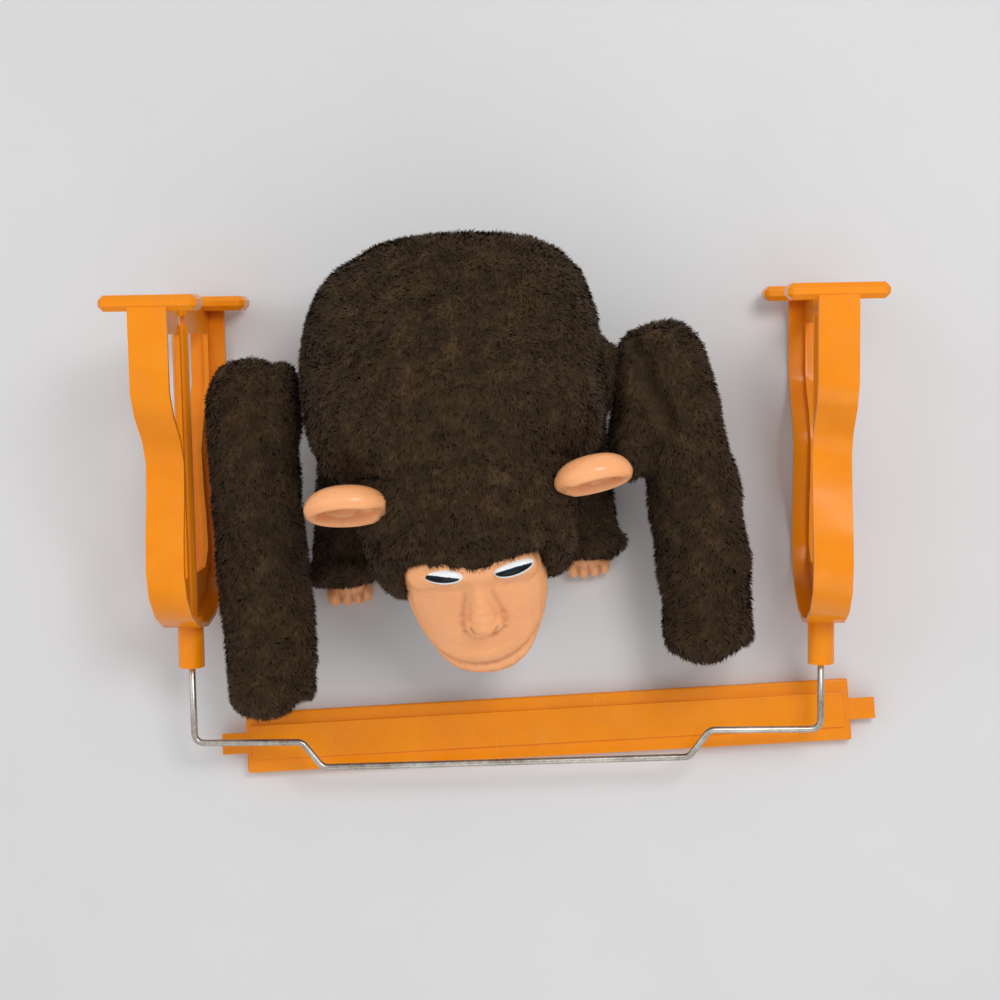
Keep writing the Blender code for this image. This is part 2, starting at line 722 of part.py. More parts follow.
def casing_halves(shop, torso):
    """Two moulded shells that meet on the shoulder shaft's plane."""
    reach = 0.3
    shells = {}
    for name, low, high in (
        ("casing_back", GAP / 2, reach),
        ("casing_front", -reach, -GAP / 2),
    ):
        outer = torso_form(name, PLUSH_THICKNESS + CASING_SLACK)
        shell = shop.piece(name, outer, torso, CASING)
        soften(shell)
        inner = torso_form(f"{name}_inner", PLUSH_THICKNESS + CASING_SLACK + CASING_WALL)
        keep = box(f"{name}_keep", (-reach, -reach, low), (reach, reach, high))
        cut(shell, form_helper(shop, inner, torso))
        boolean(shell, shop.helper(f"{name}_keep", keep, torso), "INTERSECT")
        bearing = cylinder(
            f"{name}_bearing", SHAFT_RADIUS + BEARING_CLEARANCE, -0.12, 0.12, sides=14
        )
        cut(shell, shop.helper(f"{name}_bearing", bearing, torso))
        shells[name] = shell
    front = shells["casing_front"]
    lug = box("hip_lug", HIP_LOCAL - LUG_HALF, HIP_LOCAL + LUG_HALF + Vector((0, 0, LUG_RISE)))
    fuse(front, shop.helper("hip_lug", lug, torso))
    tray_way = box(
        "tray_way",
        (-TRAY_HALF_X - GAP, TRAY_LOW_Y - GAP, -0.1),
        (TRAY_HALF_X + GAP, TRAY_HIGH_Y + GAP, TRAY_FLOOR_Z + TRAY_WALL + GAP),
    )
    spread = Vector((GAP, GAP, GAP))
    switch_way = box("switch_way", SWITCH_LOW - spread - Vector((0, 0, 0.05)), SWITCH_HIGH + spread)
    axle_bore = cylinder(
        "axle_bore",
        SHAFT_RADIUS + BEARING_CLEARANCE,
        -0.03,
        0.03,
        "X",
        (HIP_LOCAL.y, HIP_LOCAL.z),
    )
    cut(
        front,
        shop.helper("tray_way", tray_way, torso),
        shop.helper("switch_way", switch_way, torso),
        shop.helper("axle_bore", axle_bore, torso),
    )
    return shells


def battery_bay(shop, torso):
    """A tray open to the belly, two cells, their contacts, the door and the sliding switch."""
    low = Vector((-TRAY_HALF_X, TRAY_LOW_Y, TRAY_RIM_Z))
    high = Vector((TRAY_HALF_X, TRAY_HIGH_Y, TRAY_FLOOR_Z + TRAY_WALL))
    tray = shop.piece("battery_tray", box("battery_tray", low, high), torso, CASING)
    wall = Vector((TRAY_WALL, TRAY_WALL, -OVERCUT))
    hollow = box("tray_hollow", low + wall, (*(high - wall).xy, TRAY_FLOOR_Z))
    cut(tray, shop.helper("tray_hollow", hollow, torso))
    half = CELL_LENGTH / 2
    cell_z = TRAY_FLOOR_Z - CELL_CLEARANCE - CELL_RADIUS
    first_y = TRAY_LOW_Y + TRAY_WALL + CELL_CLEARANCE + CELL_RADIUS
    second_y = first_y + 2 * CELL_RADIUS + CELL_CLEARANCE
    for name, y, way in (
        ("battery_upper", first_y, 1),
        ("battery_lower", second_y, -1),
    ):
        start, end = sorted((-way * half, way * (half - CELL_NUB)))
        body = cylinder(name, CELL_RADIUS, start, end, "X", (y, cell_z), 24)
        cell = shop.piece(name, body, torso, CELL)
        start, end = sorted((way * (half - CELL_NUB - 0.001), way * half))
        nub = cylinder(f"{name}_nub", CELL_RADIUS / 4, start, end, "X", (y, cell_z), 12)
        fuse(cell, shop.helper(f"{name}_nub", nub, torso))
    depth = CELL_RADIUS * 0.7
    for name, side, low_y, high_y in (
        ("contact_bridge", -1, first_y - depth, second_y + depth),
        ("contact_upper", 1, first_y - depth, first_y + depth),
        ("contact_lower", 1, second_y - depth, second_y + depth),
    ):
        near, far = sorted((side * (half + GAP), side * (half + GAP + CONTACT_WALL)))
        strip = box(name, (near, low_y, cell_z - depth), (far, high_y, cell_z + depth))
        shop.piece(name, strip, torso, BRASS)
    hinge_axes = shop.empty(
        "door_hinge_axes", torso, (0, TRAY_HIGH_Y, TRAY_RIM_Z - GAP - DOOR_WALL / 2)
    )
    door = box(
        "battery_door",
        (-TRAY_HALF_X, TRAY_LOW_Y - TRAY_HIGH_Y, -DOOR_WALL / 2),
        (TRAY_HALF_X, 0, DOOR_WALL / 2),
        0.0006,
    )
    shop.piece("battery_door", door, hinge_axes, CASING)
    housing = box("switch_housing", SWITCH_LOW, SWITCH_HIGH)
    switch = shop.piece("switch_housing", housing, torso, NYLON)
    channel = box(
        "switch_channel",
        (SLIDER_X - SLIDER_HALF_X - GAP, SLIDER_Y - GAP, -0.1),
        (SLIDER_X + SLIDER_HALF_X + GAP, SLIDER_Y + SLIDER_LENGTH + SWITCH_TRAVEL + GAP, -0.0196),
    )
    cut(switch, shop.helper("switch_channel", channel, torso))
    slider = box(
        "switch_slider",
        (SLIDER_X - SLIDER_HALF_X, SLIDER_Y, TRAY_RIM_Z - 0.002),
        (SLIDER_X + SLIDER_HALF_X, SLIDER_Y + SLIDER_LENGTH, -0.020),
        0.0006,
    )
    shop.piece("switch_slider", slider, torso, NYLON)


def gear_outline(teeth, bore, phase=0.0):
    """A toothed wheel's outline with straight-flanked teeth, and its bore."""
    pitch = TOOTH_MODULE * teeth / 2
    tip, root = pitch + 0.8 * TOOTH_MODULE, pitch - 1.15 * TOOTH_MODULE
    step = 2 * pi / teeth
    half_pitch = (TOOTH_MODULE * pi / 2 - BACKLASH) / 2 / pitch
    slope = 0.8 * TOOTH_MODULE * 0.36 / pitch
    outline = []
    for index in range(teeth):
        middle = phase + index * step
        for radius, angle in (
            (root, middle - half_pitch - slope),
            (tip, middle - half_pitch + slope),
            (tip, middle + half_pitch - slope),
            (root, middle + half_pitch + slope),
        ):
            outline.append((radius * cos(angle), radius * sin(angle)))
    sides = 16
    hole = [(bore * cos(2 * pi * i / sides), bore * sin(2 * pi * i / sides)) for i in range(sides)]
    return [outline, hole]


ACROSS = Matrix(((0, 0, 1, 0), (1, 0, 0, 0), (0, 1, 0, 0), (0, 0, 0, 1)))


def gear(name, teeth, bore, x, phase=0.0):
    mesh = plate(name, gear_outline(teeth, bore, phase), GEAR_WIDTH, ACROSS)
    mesh.transform(Matrix.Translation((x, 0, 0)))
    return mesh


def meshing_phase(teeth, other_teeth, other_phase, angle):
    """The phase that puts a gap of one wheel on the line where the other has a tooth."""
    step, other_step = 2 * pi / teeth, 2 * pi / other_teeth
    offset = (angle - other_phase) / other_step
    return angle + pi + step / 2 + offset * step


def drive_train(shop, torso):
    """Motor, pinion, double idler and output wheel between two plates, turning the shaft."""
    idler_at = Vector((0, cos(IDLER_ANGLE), sin(IDLER_ANGLE)))
    idler_at *= TOOTH_MODULE * (SMALL_TEETH + OUTPUT_TEETH) / 2
    motor_at = Vector((0, cos(MOTOR_ANGLE), sin(MOTOR_ANGLE)))
    motor_at = idler_at + motor_at * TOOTH_MODULE * (PINION_TEETH + WHEEL_TEETH) / 2
    wheel_x = PLATE_LEFT_X + PLATE_WALL / 2 + GEAR_SPACE + GEAR_WIDTH / 2
    output_x = wheel_x + GEAR_WIDTH + GEAR_SPACE
    plate_right_x = output_x + GEAR_WIDTH / 2 + GEAR_SPACE + PLATE_WALL / 2

    output = gear("output_wheel", OUTPUT_TEETH, SHAFT_RADIUS + GAP, output_x)
    shop.piece("output_wheel", output, torso, NYLON)

    small_phase = meshing_phase(SMALL_TEETH, OUTPUT_TEETH, 0.0, IDLER_ANGLE)
    idler_axes = shop.empty("idler_axes", torso, idler_at)
    wheel = gear("idler_wheel", WHEEL_TEETH, PIN_RADIUS + GAP, wheel_x)
    idler = shop.piece("idler_wheel", wheel, idler_axes, NYLON)
    small = plate(
        "idler_small",
        gear_outline(SMALL_TEETH, PIN_RADIUS + GAP, small_phase),
        GEAR_WIDTH + 2 * GEAR_SPACE,
        ACROSS,
    )
    small.transform(Matrix.Translation((output_x - GEAR_SPACE, 0, 0)))
    fuse(idler, shop.helper("idler_small", small, idler_axes))

    pinion_phase = meshing_phase(PINION_TEETH, WHEEL_TEETH, 0.0, MOTOR_ANGLE)
    motor_axes = shop.empty("motor_axes", torso, motor_at)
    pinion_mesh = gear("motor_pinion", PINION_TEETH, MOTOR_SHAFT_RADIUS - 0.0004, wheel_x, pinion_phase)
    pinion = shop.piece("motor_pinion", pinion_mesh, motor_axes, BRASS)
    spindle = cylinder(
        "motor_spindle",
        MOTOR_SHAFT_RADIUS,
        PLATE_LEFT_X - PLATE_WALL / 2 - 0.003,
        wheel_x + GEAR_WIDTH / 2 + 0.0004,
        sides=12,
    )
    fuse(pinion, shop.helper("motor_spindle", spindle, motor_axes))
    front = PLATE_LEFT_X - PLATE_WALL / 2 - GAP
    can = cylinder("motor", MOTOR_RADIUS, front - MOTOR_LENGTH, front, sides=32)
    motor = shop.piece("motor", can, motor_axes, STEEL)
    nose = cylinder(
        "motor_bearing", MOTOR_SHAFT_RADIUS + BEARING_CLEARANCE, front - 0.004, front + 0.001, sides=12
    )
    cut(motor, shop.helper("motor_bearing", nose, motor_axes))

    high = Vector(BOLT_PLACES[-1]) + Vector((BOLT_RADIUS, BOLT_RADIUS)) * 2
    for name, x in (("gearbox_plate_inner", PLATE_LEFT_X), ("gearbox_plate_outer", plate_right_x)):
        sheet = box(
            name,
            (x - PLATE_WALL / 2, *PLATE_CORNER),
            (x + PLATE_WALL / 2, *high),
        )
        side = shop.piece(name, sheet, torso, STEEL)
        holes = [((0, 0), SHAFT_RADIUS + BEARING_CLEARANCE), (idler_at.yz, PIN_RADIUS + 0.0001)]
        holes += [(at, BOLT_RADIUS + BOLT_HOLE_SLACK) for at in BOLT_PLACES]
        if x == PLATE_LEFT_X:
            holes.append((motor_at.yz, MOTOR_SHAFT_RADIUS + 0.0010))
        for index, (at, radius) in enumerate(holes):
            drill = cylinder(f"{name}_hole_{index}", radius, x - 0.005, x + 0.005, "X", at, 12)
            cut(side, shop.helper(drill.name, drill, torso))
    start = PLATE_LEFT_X - PLATE_WALL / 2 - 0.0015
    end = plate_right_x + PLATE_WALL / 2 + 0.0005
    pin = cylinder("idler_pin", PIN_RADIUS, start, end, sides=16)
    shop.piece("idler_pin", pin, idler_axes, STEEL)
    for index, at in enumerate(BOLT_PLACES):
        name = f"gearbox_bolt_{index + 1}"
        shank = cylinder(name, BOLT_RADIUS, start, end, "X", at, 12)
        bolt = shop.piece(name, shank, torso, STEEL)
        cap = cylinder(f"{name}_head", BOLT_RADIUS * 2, end - 0.0002, end + 0.0012, "X", at, 12)
        fuse(bolt, shop.helper(cap.name, cap, torso))


def arms(shop, torso_cross, chimp):
    """The shaft with an arm fixed on each end: plastic core, plush sleeve and vinyl hand."""
    axes = shop.empty("arms_axes", chimp, (0, SHOULDER_Y, SHOULDER_Z))
    shaft = cylinder(
        "shoulder_shaft",
        SHAFT_RADIUS,
        -ARM_OUT["left"] - HUB_HALF_WIDTH,
        ARM_OUT["right"] + HUB_HALF_WIDTH,
        sides=24,
    )
    shop.piece("shoulder_shaft", shaft, axes, STEEL)
    for name, side in (("left", -1), ("right", 1)):
        arm = shop.empty(f"arm_{name}_axes", axes, (side * ARM_OUT[name], 0, 0), (ARM_DROOP, 0, 0))
        sleeve_mesh = pod(f"arm_{name}_plush", arm_stations(name), LIMB_SIDES, 2.2)
        sleeve = shop.piece(f"arm_{name}_plush", sleeve_mesh, arm, FUR)
        soften(sleeve)
        end_x, reach = ARM_DRIFT[name], ARM_REACH[name]
        core_reach = reach * ARM_CORE_SHARE
        mouth = cylinder(
            f"sleeve_mouth_{name}",
            SLEEVE_HALF,
            -reach - 0.02,
            -core_reach,
            "Y",
            (end_x, 0),
            20,
        )
        trim = box(
            f"sleeve_trim_{name}",
            (-0.06, -reach - 0.05, -0.06),
            (0.06, -reach, 0.06),
        )
        inner_end = -side * 0.05
        low, high = sorted((inner_end, side * (HUB_HALF_WIDTH + GAP)))
        channel = cylinder(f"hub_channel_{name}", HUB_RADIUS + GAP, low, high, "X", sides=24)
        bar_way = box(
            f"bar_way_{name}",
            Vector((-ARM_CORE_WIDTH / 2 - GAP, -core_reach - GAP, -ARM_CORE_HEIGHT / 2 - GAP)),
            Vector((ARM_CORE_WIDTH / 2 + GAP, 0, ARM_CORE_HEIGHT / 2 + GAP)),
        )
        cut(
            sleeve,
            shop.helper(f"sleeve_trim_{name}", trim, arm),
            shop.helper(f"sleeve_mouth_{name}", mouth, arm),
            shop.helper(f"hub_channel_{name}", channel, arm),
            shop.helper(f"bar_way_{name}", bar_way, arm),
        )
        hub = cylinder(
            f"arm_{name}_core", HUB_RADIUS, -HUB_HALF_WIDTH, HUB_HALF_WIDTH, "X", sides=24
        )
        core = shop.piece(f"arm_{name}_core", hub, arm, CASING)
        bar = box(
            f"core_bar_{name}",
            (-ARM_CORE_WIDTH / 2, -core_reach, -ARM_CORE_HEIGHT / 2),
            (ARM_CORE_WIDTH / 2, 0, ARM_CORE_HEIGHT / 2),
        )
        fuse(core, shop.helper(f"core_bar_{name}", bar, arm))
        keyway = cylinder(
            f"core_bore_{name}", SHAFT_RADIUS + GAP, -0.02, 0.02, "X", sides=24
        )
        cut(core, shop.helper(f"core_bore_{name}", keyway, arm))
        hand(shop, name, arm, end_x, core_reach)


def arm_stations(name):
    """A sleeve from behind the shoulder to its cut end, swelling at shoulder and forearm."""
    drift, reach, back = ARM_DRIFT[name], ARM_REACH[name], ARM_BACK[name]
    rings = [(back * share, w, h) for share, w, h in ARM_BACK_RINGS]
    rings += [(-reach * share, w, h) for share, w, h in ARM_RINGS]
    stations = []
    for y, w, h in rings:
        bow = ARM_BOW[name] * sin(pi * min(max(-y / reach, 0), 1))
        stations.append((y, bow - drift * y / reach, 0, ARM_HALF_WIDTH * w, ARM_HALF_HEIGHT * h))
    return stations


def hand(shop, name, arm, end_x, core_reach):
    """A vinyl hand in the sleeve's mouth, with the slot that grips the bar."""
    start = -core_reach - GAP
    end = start - HAND_LENGTH
    stations = [
        (start, end_x * 0.8, 0, HAND_HALF_WIDTH * 0.6, HAND_HALF_HEIGHT * 0.7),
        (start - HAND_LENGTH * 0.25, end_x, 0, HAND_HALF_WIDTH * 0.9, HAND_HALF_HEIGHT * 0.95),
        (start - HAND_LENGTH * 0.7, end_x, 0, HAND_HALF_WIDTH, HAND_HALF_HEIGHT),
        (end, end_x, 0, HAND_HALF_WIDTH * 0.8, HAND_HALF_HEIGHT * 0.75),
    ]
    grip = shop.piece(f"hand_{name}", pod(f"hand_{name}", stations, 8, 2.4), arm, PEACH)
    soften(grip)
    slot = box(
        f"grip_slot_{name}",
        (end_x - 0.03, end - 0.02, -GRIP_SLOT / 2),
        (end_x + 0.03, end + GRIP_DEPTH, GRIP_SLOT / 2),
    )
    cut(grip, shop.helper(f"grip_slot_{name}", slot, arm))


def legs(shop, torso, chimp):
    """The hip axle with a stuffed leg and a vinyl foot on each side."""
    axes = shop.empty("legs_axes", chimp, (0, HIP_Y, HIP_Z))
    reach = HIP_OUT + 0.012
    axle = cylinder("hip_axle", SHAFT_RADIUS, -reach, reach, sides=20)
    shop.piece("hip_axle", axle, axes, STEEL)
    floor = box("leg_floor", (-0.3, -0.3, -0.2), (0.3, 0.3, -HIP_Z))
    torso_ways = [torso_at_swing(shop, chimp, angle) for angle in HIP_SWEEP]
    floor_cut = shop.helper("leg_floor", floor, axes)
    for name, side in (("left", -1), ("right", 1)):
        drift = LEG_DRIFT[name]
        leg = shop.empty(f"leg_{name}_axes", axes, (side * HIP_OUT, 0, 0))
        mesh = pod(f"leg_{name}_plush", leg_stations(drift), LIMB_SIDES, 2.2)
        plush = shop.piece(f"leg_{name}_plush", mesh, leg, FUR)
        soften(plush)
        ankle = box(f"ankle_{name}", (-0.1, -0.3, -0.1), (0.1, -LEG_REACH, 0.1))
        low, high = sorted((-side * 0.05, side * (0.012 + GAP)))
        bore = cylinder(f"axle_way_{name}", SHAFT_RADIUS + GAP, low, high, "X", sides=20)
        cut(
            plush,
            *torso_ways,
            floor_cut,
            shop.helper(f"ankle_{name}", ankle, leg),
            shop.helper(f"axle_way_{name}", bore, leg),
        )
        foot(shop, name, leg, drift, floor_cut)


def torso_at_swing(shop, chimp, angle):
    """The torso's form as a leg meets it when the legs have swung by an angle."""
    sweep = shop.empty(f"sweep_{angle}", chimp, (0, HIP_Y, HIP_Z), (-radians(angle), 0, 0))
    offset = (0, SHOULDER_Y - HIP_Y, SHOULDER_Z - HIP_Z)
    axes = shop.empty(f"swept_torso_{angle}", sweep, offset, (-TORSO_TILT, 0, 0))
    return form_helper(shop, torso_form(f"torso_way_{angle}", -LEG_CLEARANCE), axes)


def leg_stations(drift):
    """A folded leg from behind the hip to the ankle."""
    low = LEG_HALF_HEIGHT - SOLE_CUT - HIP_Z
    rings = [(LEG_BACK * share, *rest) for share, *rest in LEG_BACK_RINGS]
    rings += [(-LEG_REACH * share, *rest) for share, *rest in LEG_RINGS]
    return [
        (y, -drift * y / LEG_REACH, low * drop, LEG_HALF_WIDTH * w, LEG_HALF_HEIGHT * h)
        for y, w, h, drop in rings
    ]


def foot(shop, name, leg, drift, floor_cut):
    """A vinyl foot with its toes, against the ankle."""
    centre_z = FOOT_HALF_HEIGHT - SOLE_CUT - HIP_Z - 0.0008
    start = -LEG_REACH - GAP
    end = start - FOOT_LENGTH
    stations = [
        (start + 0.006, drift, centre_z, FOOT_HALF_WIDTH * 0.95, FOOT_HALF_HEIGHT * 0.98),
        (start - FOOT_LENGTH * 0.25, drift, centre_z, FOOT_HALF_WIDTH, FOOT_HALF_HEIGHT),
        (start - FOOT_LENGTH * 0.7, drift * 1.05, centre_z, FOOT_HALF_WIDTH, FOOT_HALF_HEIGHT * 0.9),
        (end, drift * 1.08, centre_z - 0.002, FOOT_HALF_WIDTH * 0.8, FOOT_HALF_HEIGHT * 0.6),
    ]
    sole = shop.piece(f"foot_{name}", pod(f"foot_{name}", stations, 8, 2.4), leg, PEACH)
    soften(sole)
    toes = []
    for index in range(TOE_COUNT):
        share = index / (TOE_COUNT - 1) - 0.5
        place = (
            drift * 1.08 + share * 2 * (FOOT_HALF_WIDTH - TOE_RADIUS),
            end + 0.003 + abs(share) * 0.006,
            TOE_RADIUS * 1.3 - HIP_Z,
        )
        toe = ellipsoid(
            f"toe_{name}_{index}", (TOE_RADIUS, TOE_RADIUS * 1.6, TOE_RADIUS * 1.25), place, 0, 8, 6
        )
        toes.append(shop.helper(toe.name, toe, leg))
    fuse(sole, *toes)
    heel = box(f"heel_{name}", (-0.1, start, -0.1), (0.1, 0.3, 0.1))
    cut(sole, shop.helper(f"heel_{name}", heel, leg), floor_cut)


def head(shop, torso, chimp):
    """A plush head over a moulded shell, with vinyl face and ears and set-in eyes."""
    plush = shop.piece("head_plush", head_form("head_plush", 0), chimp, FUR)
    soften(plush)
    torso_way = form_helper(shop, torso_form("head_torso_way", -CASING_SLACK), torso)
    hollow = form_helper(shop, head_form("head_hollow", HEAD_PLUSH_THICKNESS), chimp)
    start, end = HEAD_CENTRE.y - 0.012, HEAD_CENTRE.y + NECK_REACH
    neck_at = (HEAD_CENTRE.x, HEAD_CENTRE.z + NECK_RISE)
    post = cylinder("neck_post", NECK_RADIUS, start, end, "Y", neck_at, 28)
    shop.piece("neck_post", post, chimp, CASING)
    way = cylinder("neck_way", NECK_RADIUS + GAP, start - 0.01, end + 0.03, "Y", neck_at, 28)
    neck_way = shop.helper("neck_way", way, chimp)
    cut(plush, torso_way, hollow, neck_way)
    shell = shop.piece("head_shell", head_form("head_shell", HEAD_PLUSH_THICKNESS + GAP), chimp, CASING)
    soften(shell)
    inner = head_form("head_shell_inner", HEAD_PLUSH_THICKNESS + GAP + HEAD_SHELL_WALL)
    cut(shell, form_helper(shop, inner, chimp), neck_way, torso_way)
    for name in ("torso_plush", "casing_back", "casing_front"):
        cut(bpy.data.objects[name], neck_way)
    face(shop, chimp)
    ears(shop, chimp)


def face(shop, chimp):
    """The vinyl face: brow, cheeks, muzzle and nose, cut where the head's fur begins."""
    axes = shop.empty("face_axes", chimp, FACE_CENTRE, (FACE_PITCH, 0, 0))
    mask = shop.piece("face_mask", pod("face_mask", FACE_RINGS, 12, 2.3), axes, PEACH)
    soften(mask)
    fuse(mask, form_helper(shop, pod("nose", NOSE_RINGS, 8, 2.0), axes))
    cut(mask, form_helper(shop, head_form("face_head_way", -GAP), chimp))
    for name, side in (("left", -1), ("right", 1)):
        place = (side * EYE_SPACING, EYE_HEIGHT, EYE_DEPTH)
        turn = side * EYE_TILT
        grown = EYE_HALF + Vector((GAP, GAP, GAP))
        socket = ellipsoid(f"eye_socket_{name}", grown, place, turn, 16, 8)
        eye_way = shop.helper(f"eye_socket_{name}", socket, axes)
        for piece in (mask, bpy.data.objects["head_plush"]):
            cut(piece, eye_way)
        ball = ellipsoid(f"eye_{name}", EYE_HALF, place, turn, 16, 8)
        shop.piece(f"eye_{name}", ball, axes, EYE)


def ears(shop, chimp):
    """Two thick round ears, dished in front, against the head."""
    head_way = form_helper(shop, head_form("ear_head_way", -GAP), chimp)
    for name in ("left", "right"):
        axes = shop.empty(f"ear_{name}_axes", chimp, EAR_PLACE[name], (EAR_PITCH, 0, EAR_TURN[name]))
        disc = ellipsoid(
            f"ear_{name}", (EAR_RADIUS, EAR_RADIUS * 0.96, EAR_THICKNESS), (0, 0, 0), 0, 20, 8
        )
        ear = shop.piece(f"ear_{name}", disc, axes, PEACH)
        dish = ellipsoid(
            f"ear_dish_{name}",
            (EAR_RADIUS * 0.74, EAR_RADIUS * 0.7, EAR_DISH),
            (0, 0, EAR_THICKNESS * 0.85),
            0,
            16,
            6,
        )
        cut(ear, shop.helper(f"ear_dish_{name}", dish, axes), head_way)


def chimp_toy(shop):
    chimp = shop.empty("chimp_axes", shop.layout, (*CHIMP_PLACE, 0), (0, 0, CHIMP_YAW))
    torso = shop.empty(
        "torso_axes", chimp, (0, SHOULDER_Y, SHOULDER_Z), (-TORSO_TILT, 0, 0)
    )
    torso_plush(shop, torso)
    casing_halves(shop, torso)
    battery_bay(shop, torso)
    drive_train(shop, torso)
    arms(shop, torso, chimp)
    legs(shop, torso, chimp)
    head(shop, torso, chimp)


def centre_on_floor(shop):
    """Moves the whole toy so that the middle of its box's underside is the origin."""
    bpy.context.view_layer.update()
    graph = bpy.context.evaluated_depsgraph_get()
    corners = []
    for obj in bpy.context.scene.objects:
        if obj.type not in ("MESH", "CURVE") or obj.hide_render:
            continue
        evaluated = obj.evaluated_get(graph)
        mesh = evaluated.to_mesh()
        corners += [evaluated.matrix_world @ vertex.co for vertex in mesh.vertices]
        evaluated.to_mesh_clear()
    low = [min(corner[axis] for corner in corners) for axis in range(3)]
    high = [max(corner[axis] for corner in corners) for axis in range(3)]
    shop.layout.location = (-(low[0] + high[0]) / 2, -(low[1] + high[1]) / 2, -low[2])
    bpy.context.view_layer.update()


def main():
    shop = Workshop()
    swing_frame(shop)
    spreader_beam(shop)
    chimp_toy(shop)
    centre_on_floor(shop)


main()
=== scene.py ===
"""The look of a plush acrobat ape and its bar frame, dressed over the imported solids."""

from __future__ import annotations

import logging
from dataclasses import dataclass, field
from enum import Enum
from math import cos, pi, radians, sin, tan

import bmesh
import bpy
import numpy as np
from mathutils import Matrix, Vector
from mathutils.bvhtree import BVHTree


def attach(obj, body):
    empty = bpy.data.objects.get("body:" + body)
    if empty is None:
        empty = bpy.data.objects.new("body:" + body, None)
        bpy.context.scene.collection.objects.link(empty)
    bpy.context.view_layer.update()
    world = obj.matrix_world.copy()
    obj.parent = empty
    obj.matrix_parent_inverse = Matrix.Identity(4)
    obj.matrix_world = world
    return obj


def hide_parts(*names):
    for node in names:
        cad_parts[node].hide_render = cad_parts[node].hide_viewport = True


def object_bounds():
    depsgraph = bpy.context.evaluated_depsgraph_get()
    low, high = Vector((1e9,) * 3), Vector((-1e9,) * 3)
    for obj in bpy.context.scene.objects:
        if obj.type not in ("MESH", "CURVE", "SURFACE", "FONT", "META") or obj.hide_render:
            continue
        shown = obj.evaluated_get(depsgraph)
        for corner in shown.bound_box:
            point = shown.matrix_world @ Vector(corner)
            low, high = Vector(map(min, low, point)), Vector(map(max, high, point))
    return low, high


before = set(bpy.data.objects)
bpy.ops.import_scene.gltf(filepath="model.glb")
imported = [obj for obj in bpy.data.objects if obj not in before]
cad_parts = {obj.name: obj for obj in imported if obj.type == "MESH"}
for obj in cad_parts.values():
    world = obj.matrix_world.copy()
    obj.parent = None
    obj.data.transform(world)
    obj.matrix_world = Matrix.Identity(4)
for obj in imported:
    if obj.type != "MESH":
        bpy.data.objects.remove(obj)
CAD_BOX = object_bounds()

log = logging.getLogger("acrobat_ape")

Triple = tuple[float, float, float]
Pair = tuple[float, float]
Colour = Triple
Nodes = bpy.types.NodeTree


# Shader building blocks


class Socket(Enum):
    """The kinds of value that a shader group takes or gives."""

    NUMBER = "NodeSocketFloat"
    COLOUR = "NodeSocketColor"


class ShaderGroup:
    """A shader effect that several finishes share, built once."""

    name = "effect"
    inputs: tuple[tuple[str, Socket, object], ...] = ()
    outputs: tuple[tuple[str, Socket], ...] = ()

    @classmethod
    def tree(cls) -> Nodes:
        """Finds the group, or builds it.

        Returns:
            The group's node tree.
        """
        found = bpy.data.node_groups.get(cls.name)
        if found:
            return found
        made = bpy.data.node_groups.new(cls.name, "ShaderNodeTree")
        for label, kind, value in cls.inputs:
            socket = made.interface.new_socket(label, in_out="INPUT", socket_type=kind.value)
            if value is not None:
                socket.default_value = value
        for label, kind in cls.outputs:
            made.interface.new_socket(label, in_out="OUTPUT", socket_type=kind.value)
        start = made.nodes.new("NodeGroupInput")
        end = made.nodes.new("NodeGroupOutput")
        cls.wire(Wiring(made), start, end)
        return made

    @classmethod
    def wire(cls, wiring: Wiring, start: bpy.types.Node, end: bpy.types.Node) -> None:
        """Adds the effect's own nodes between the group's ends.

        Args:
            wiring: The group's wiring.
            start: The group's inputs.
            end: The group's outputs.
        """
        raise NotImplementedError


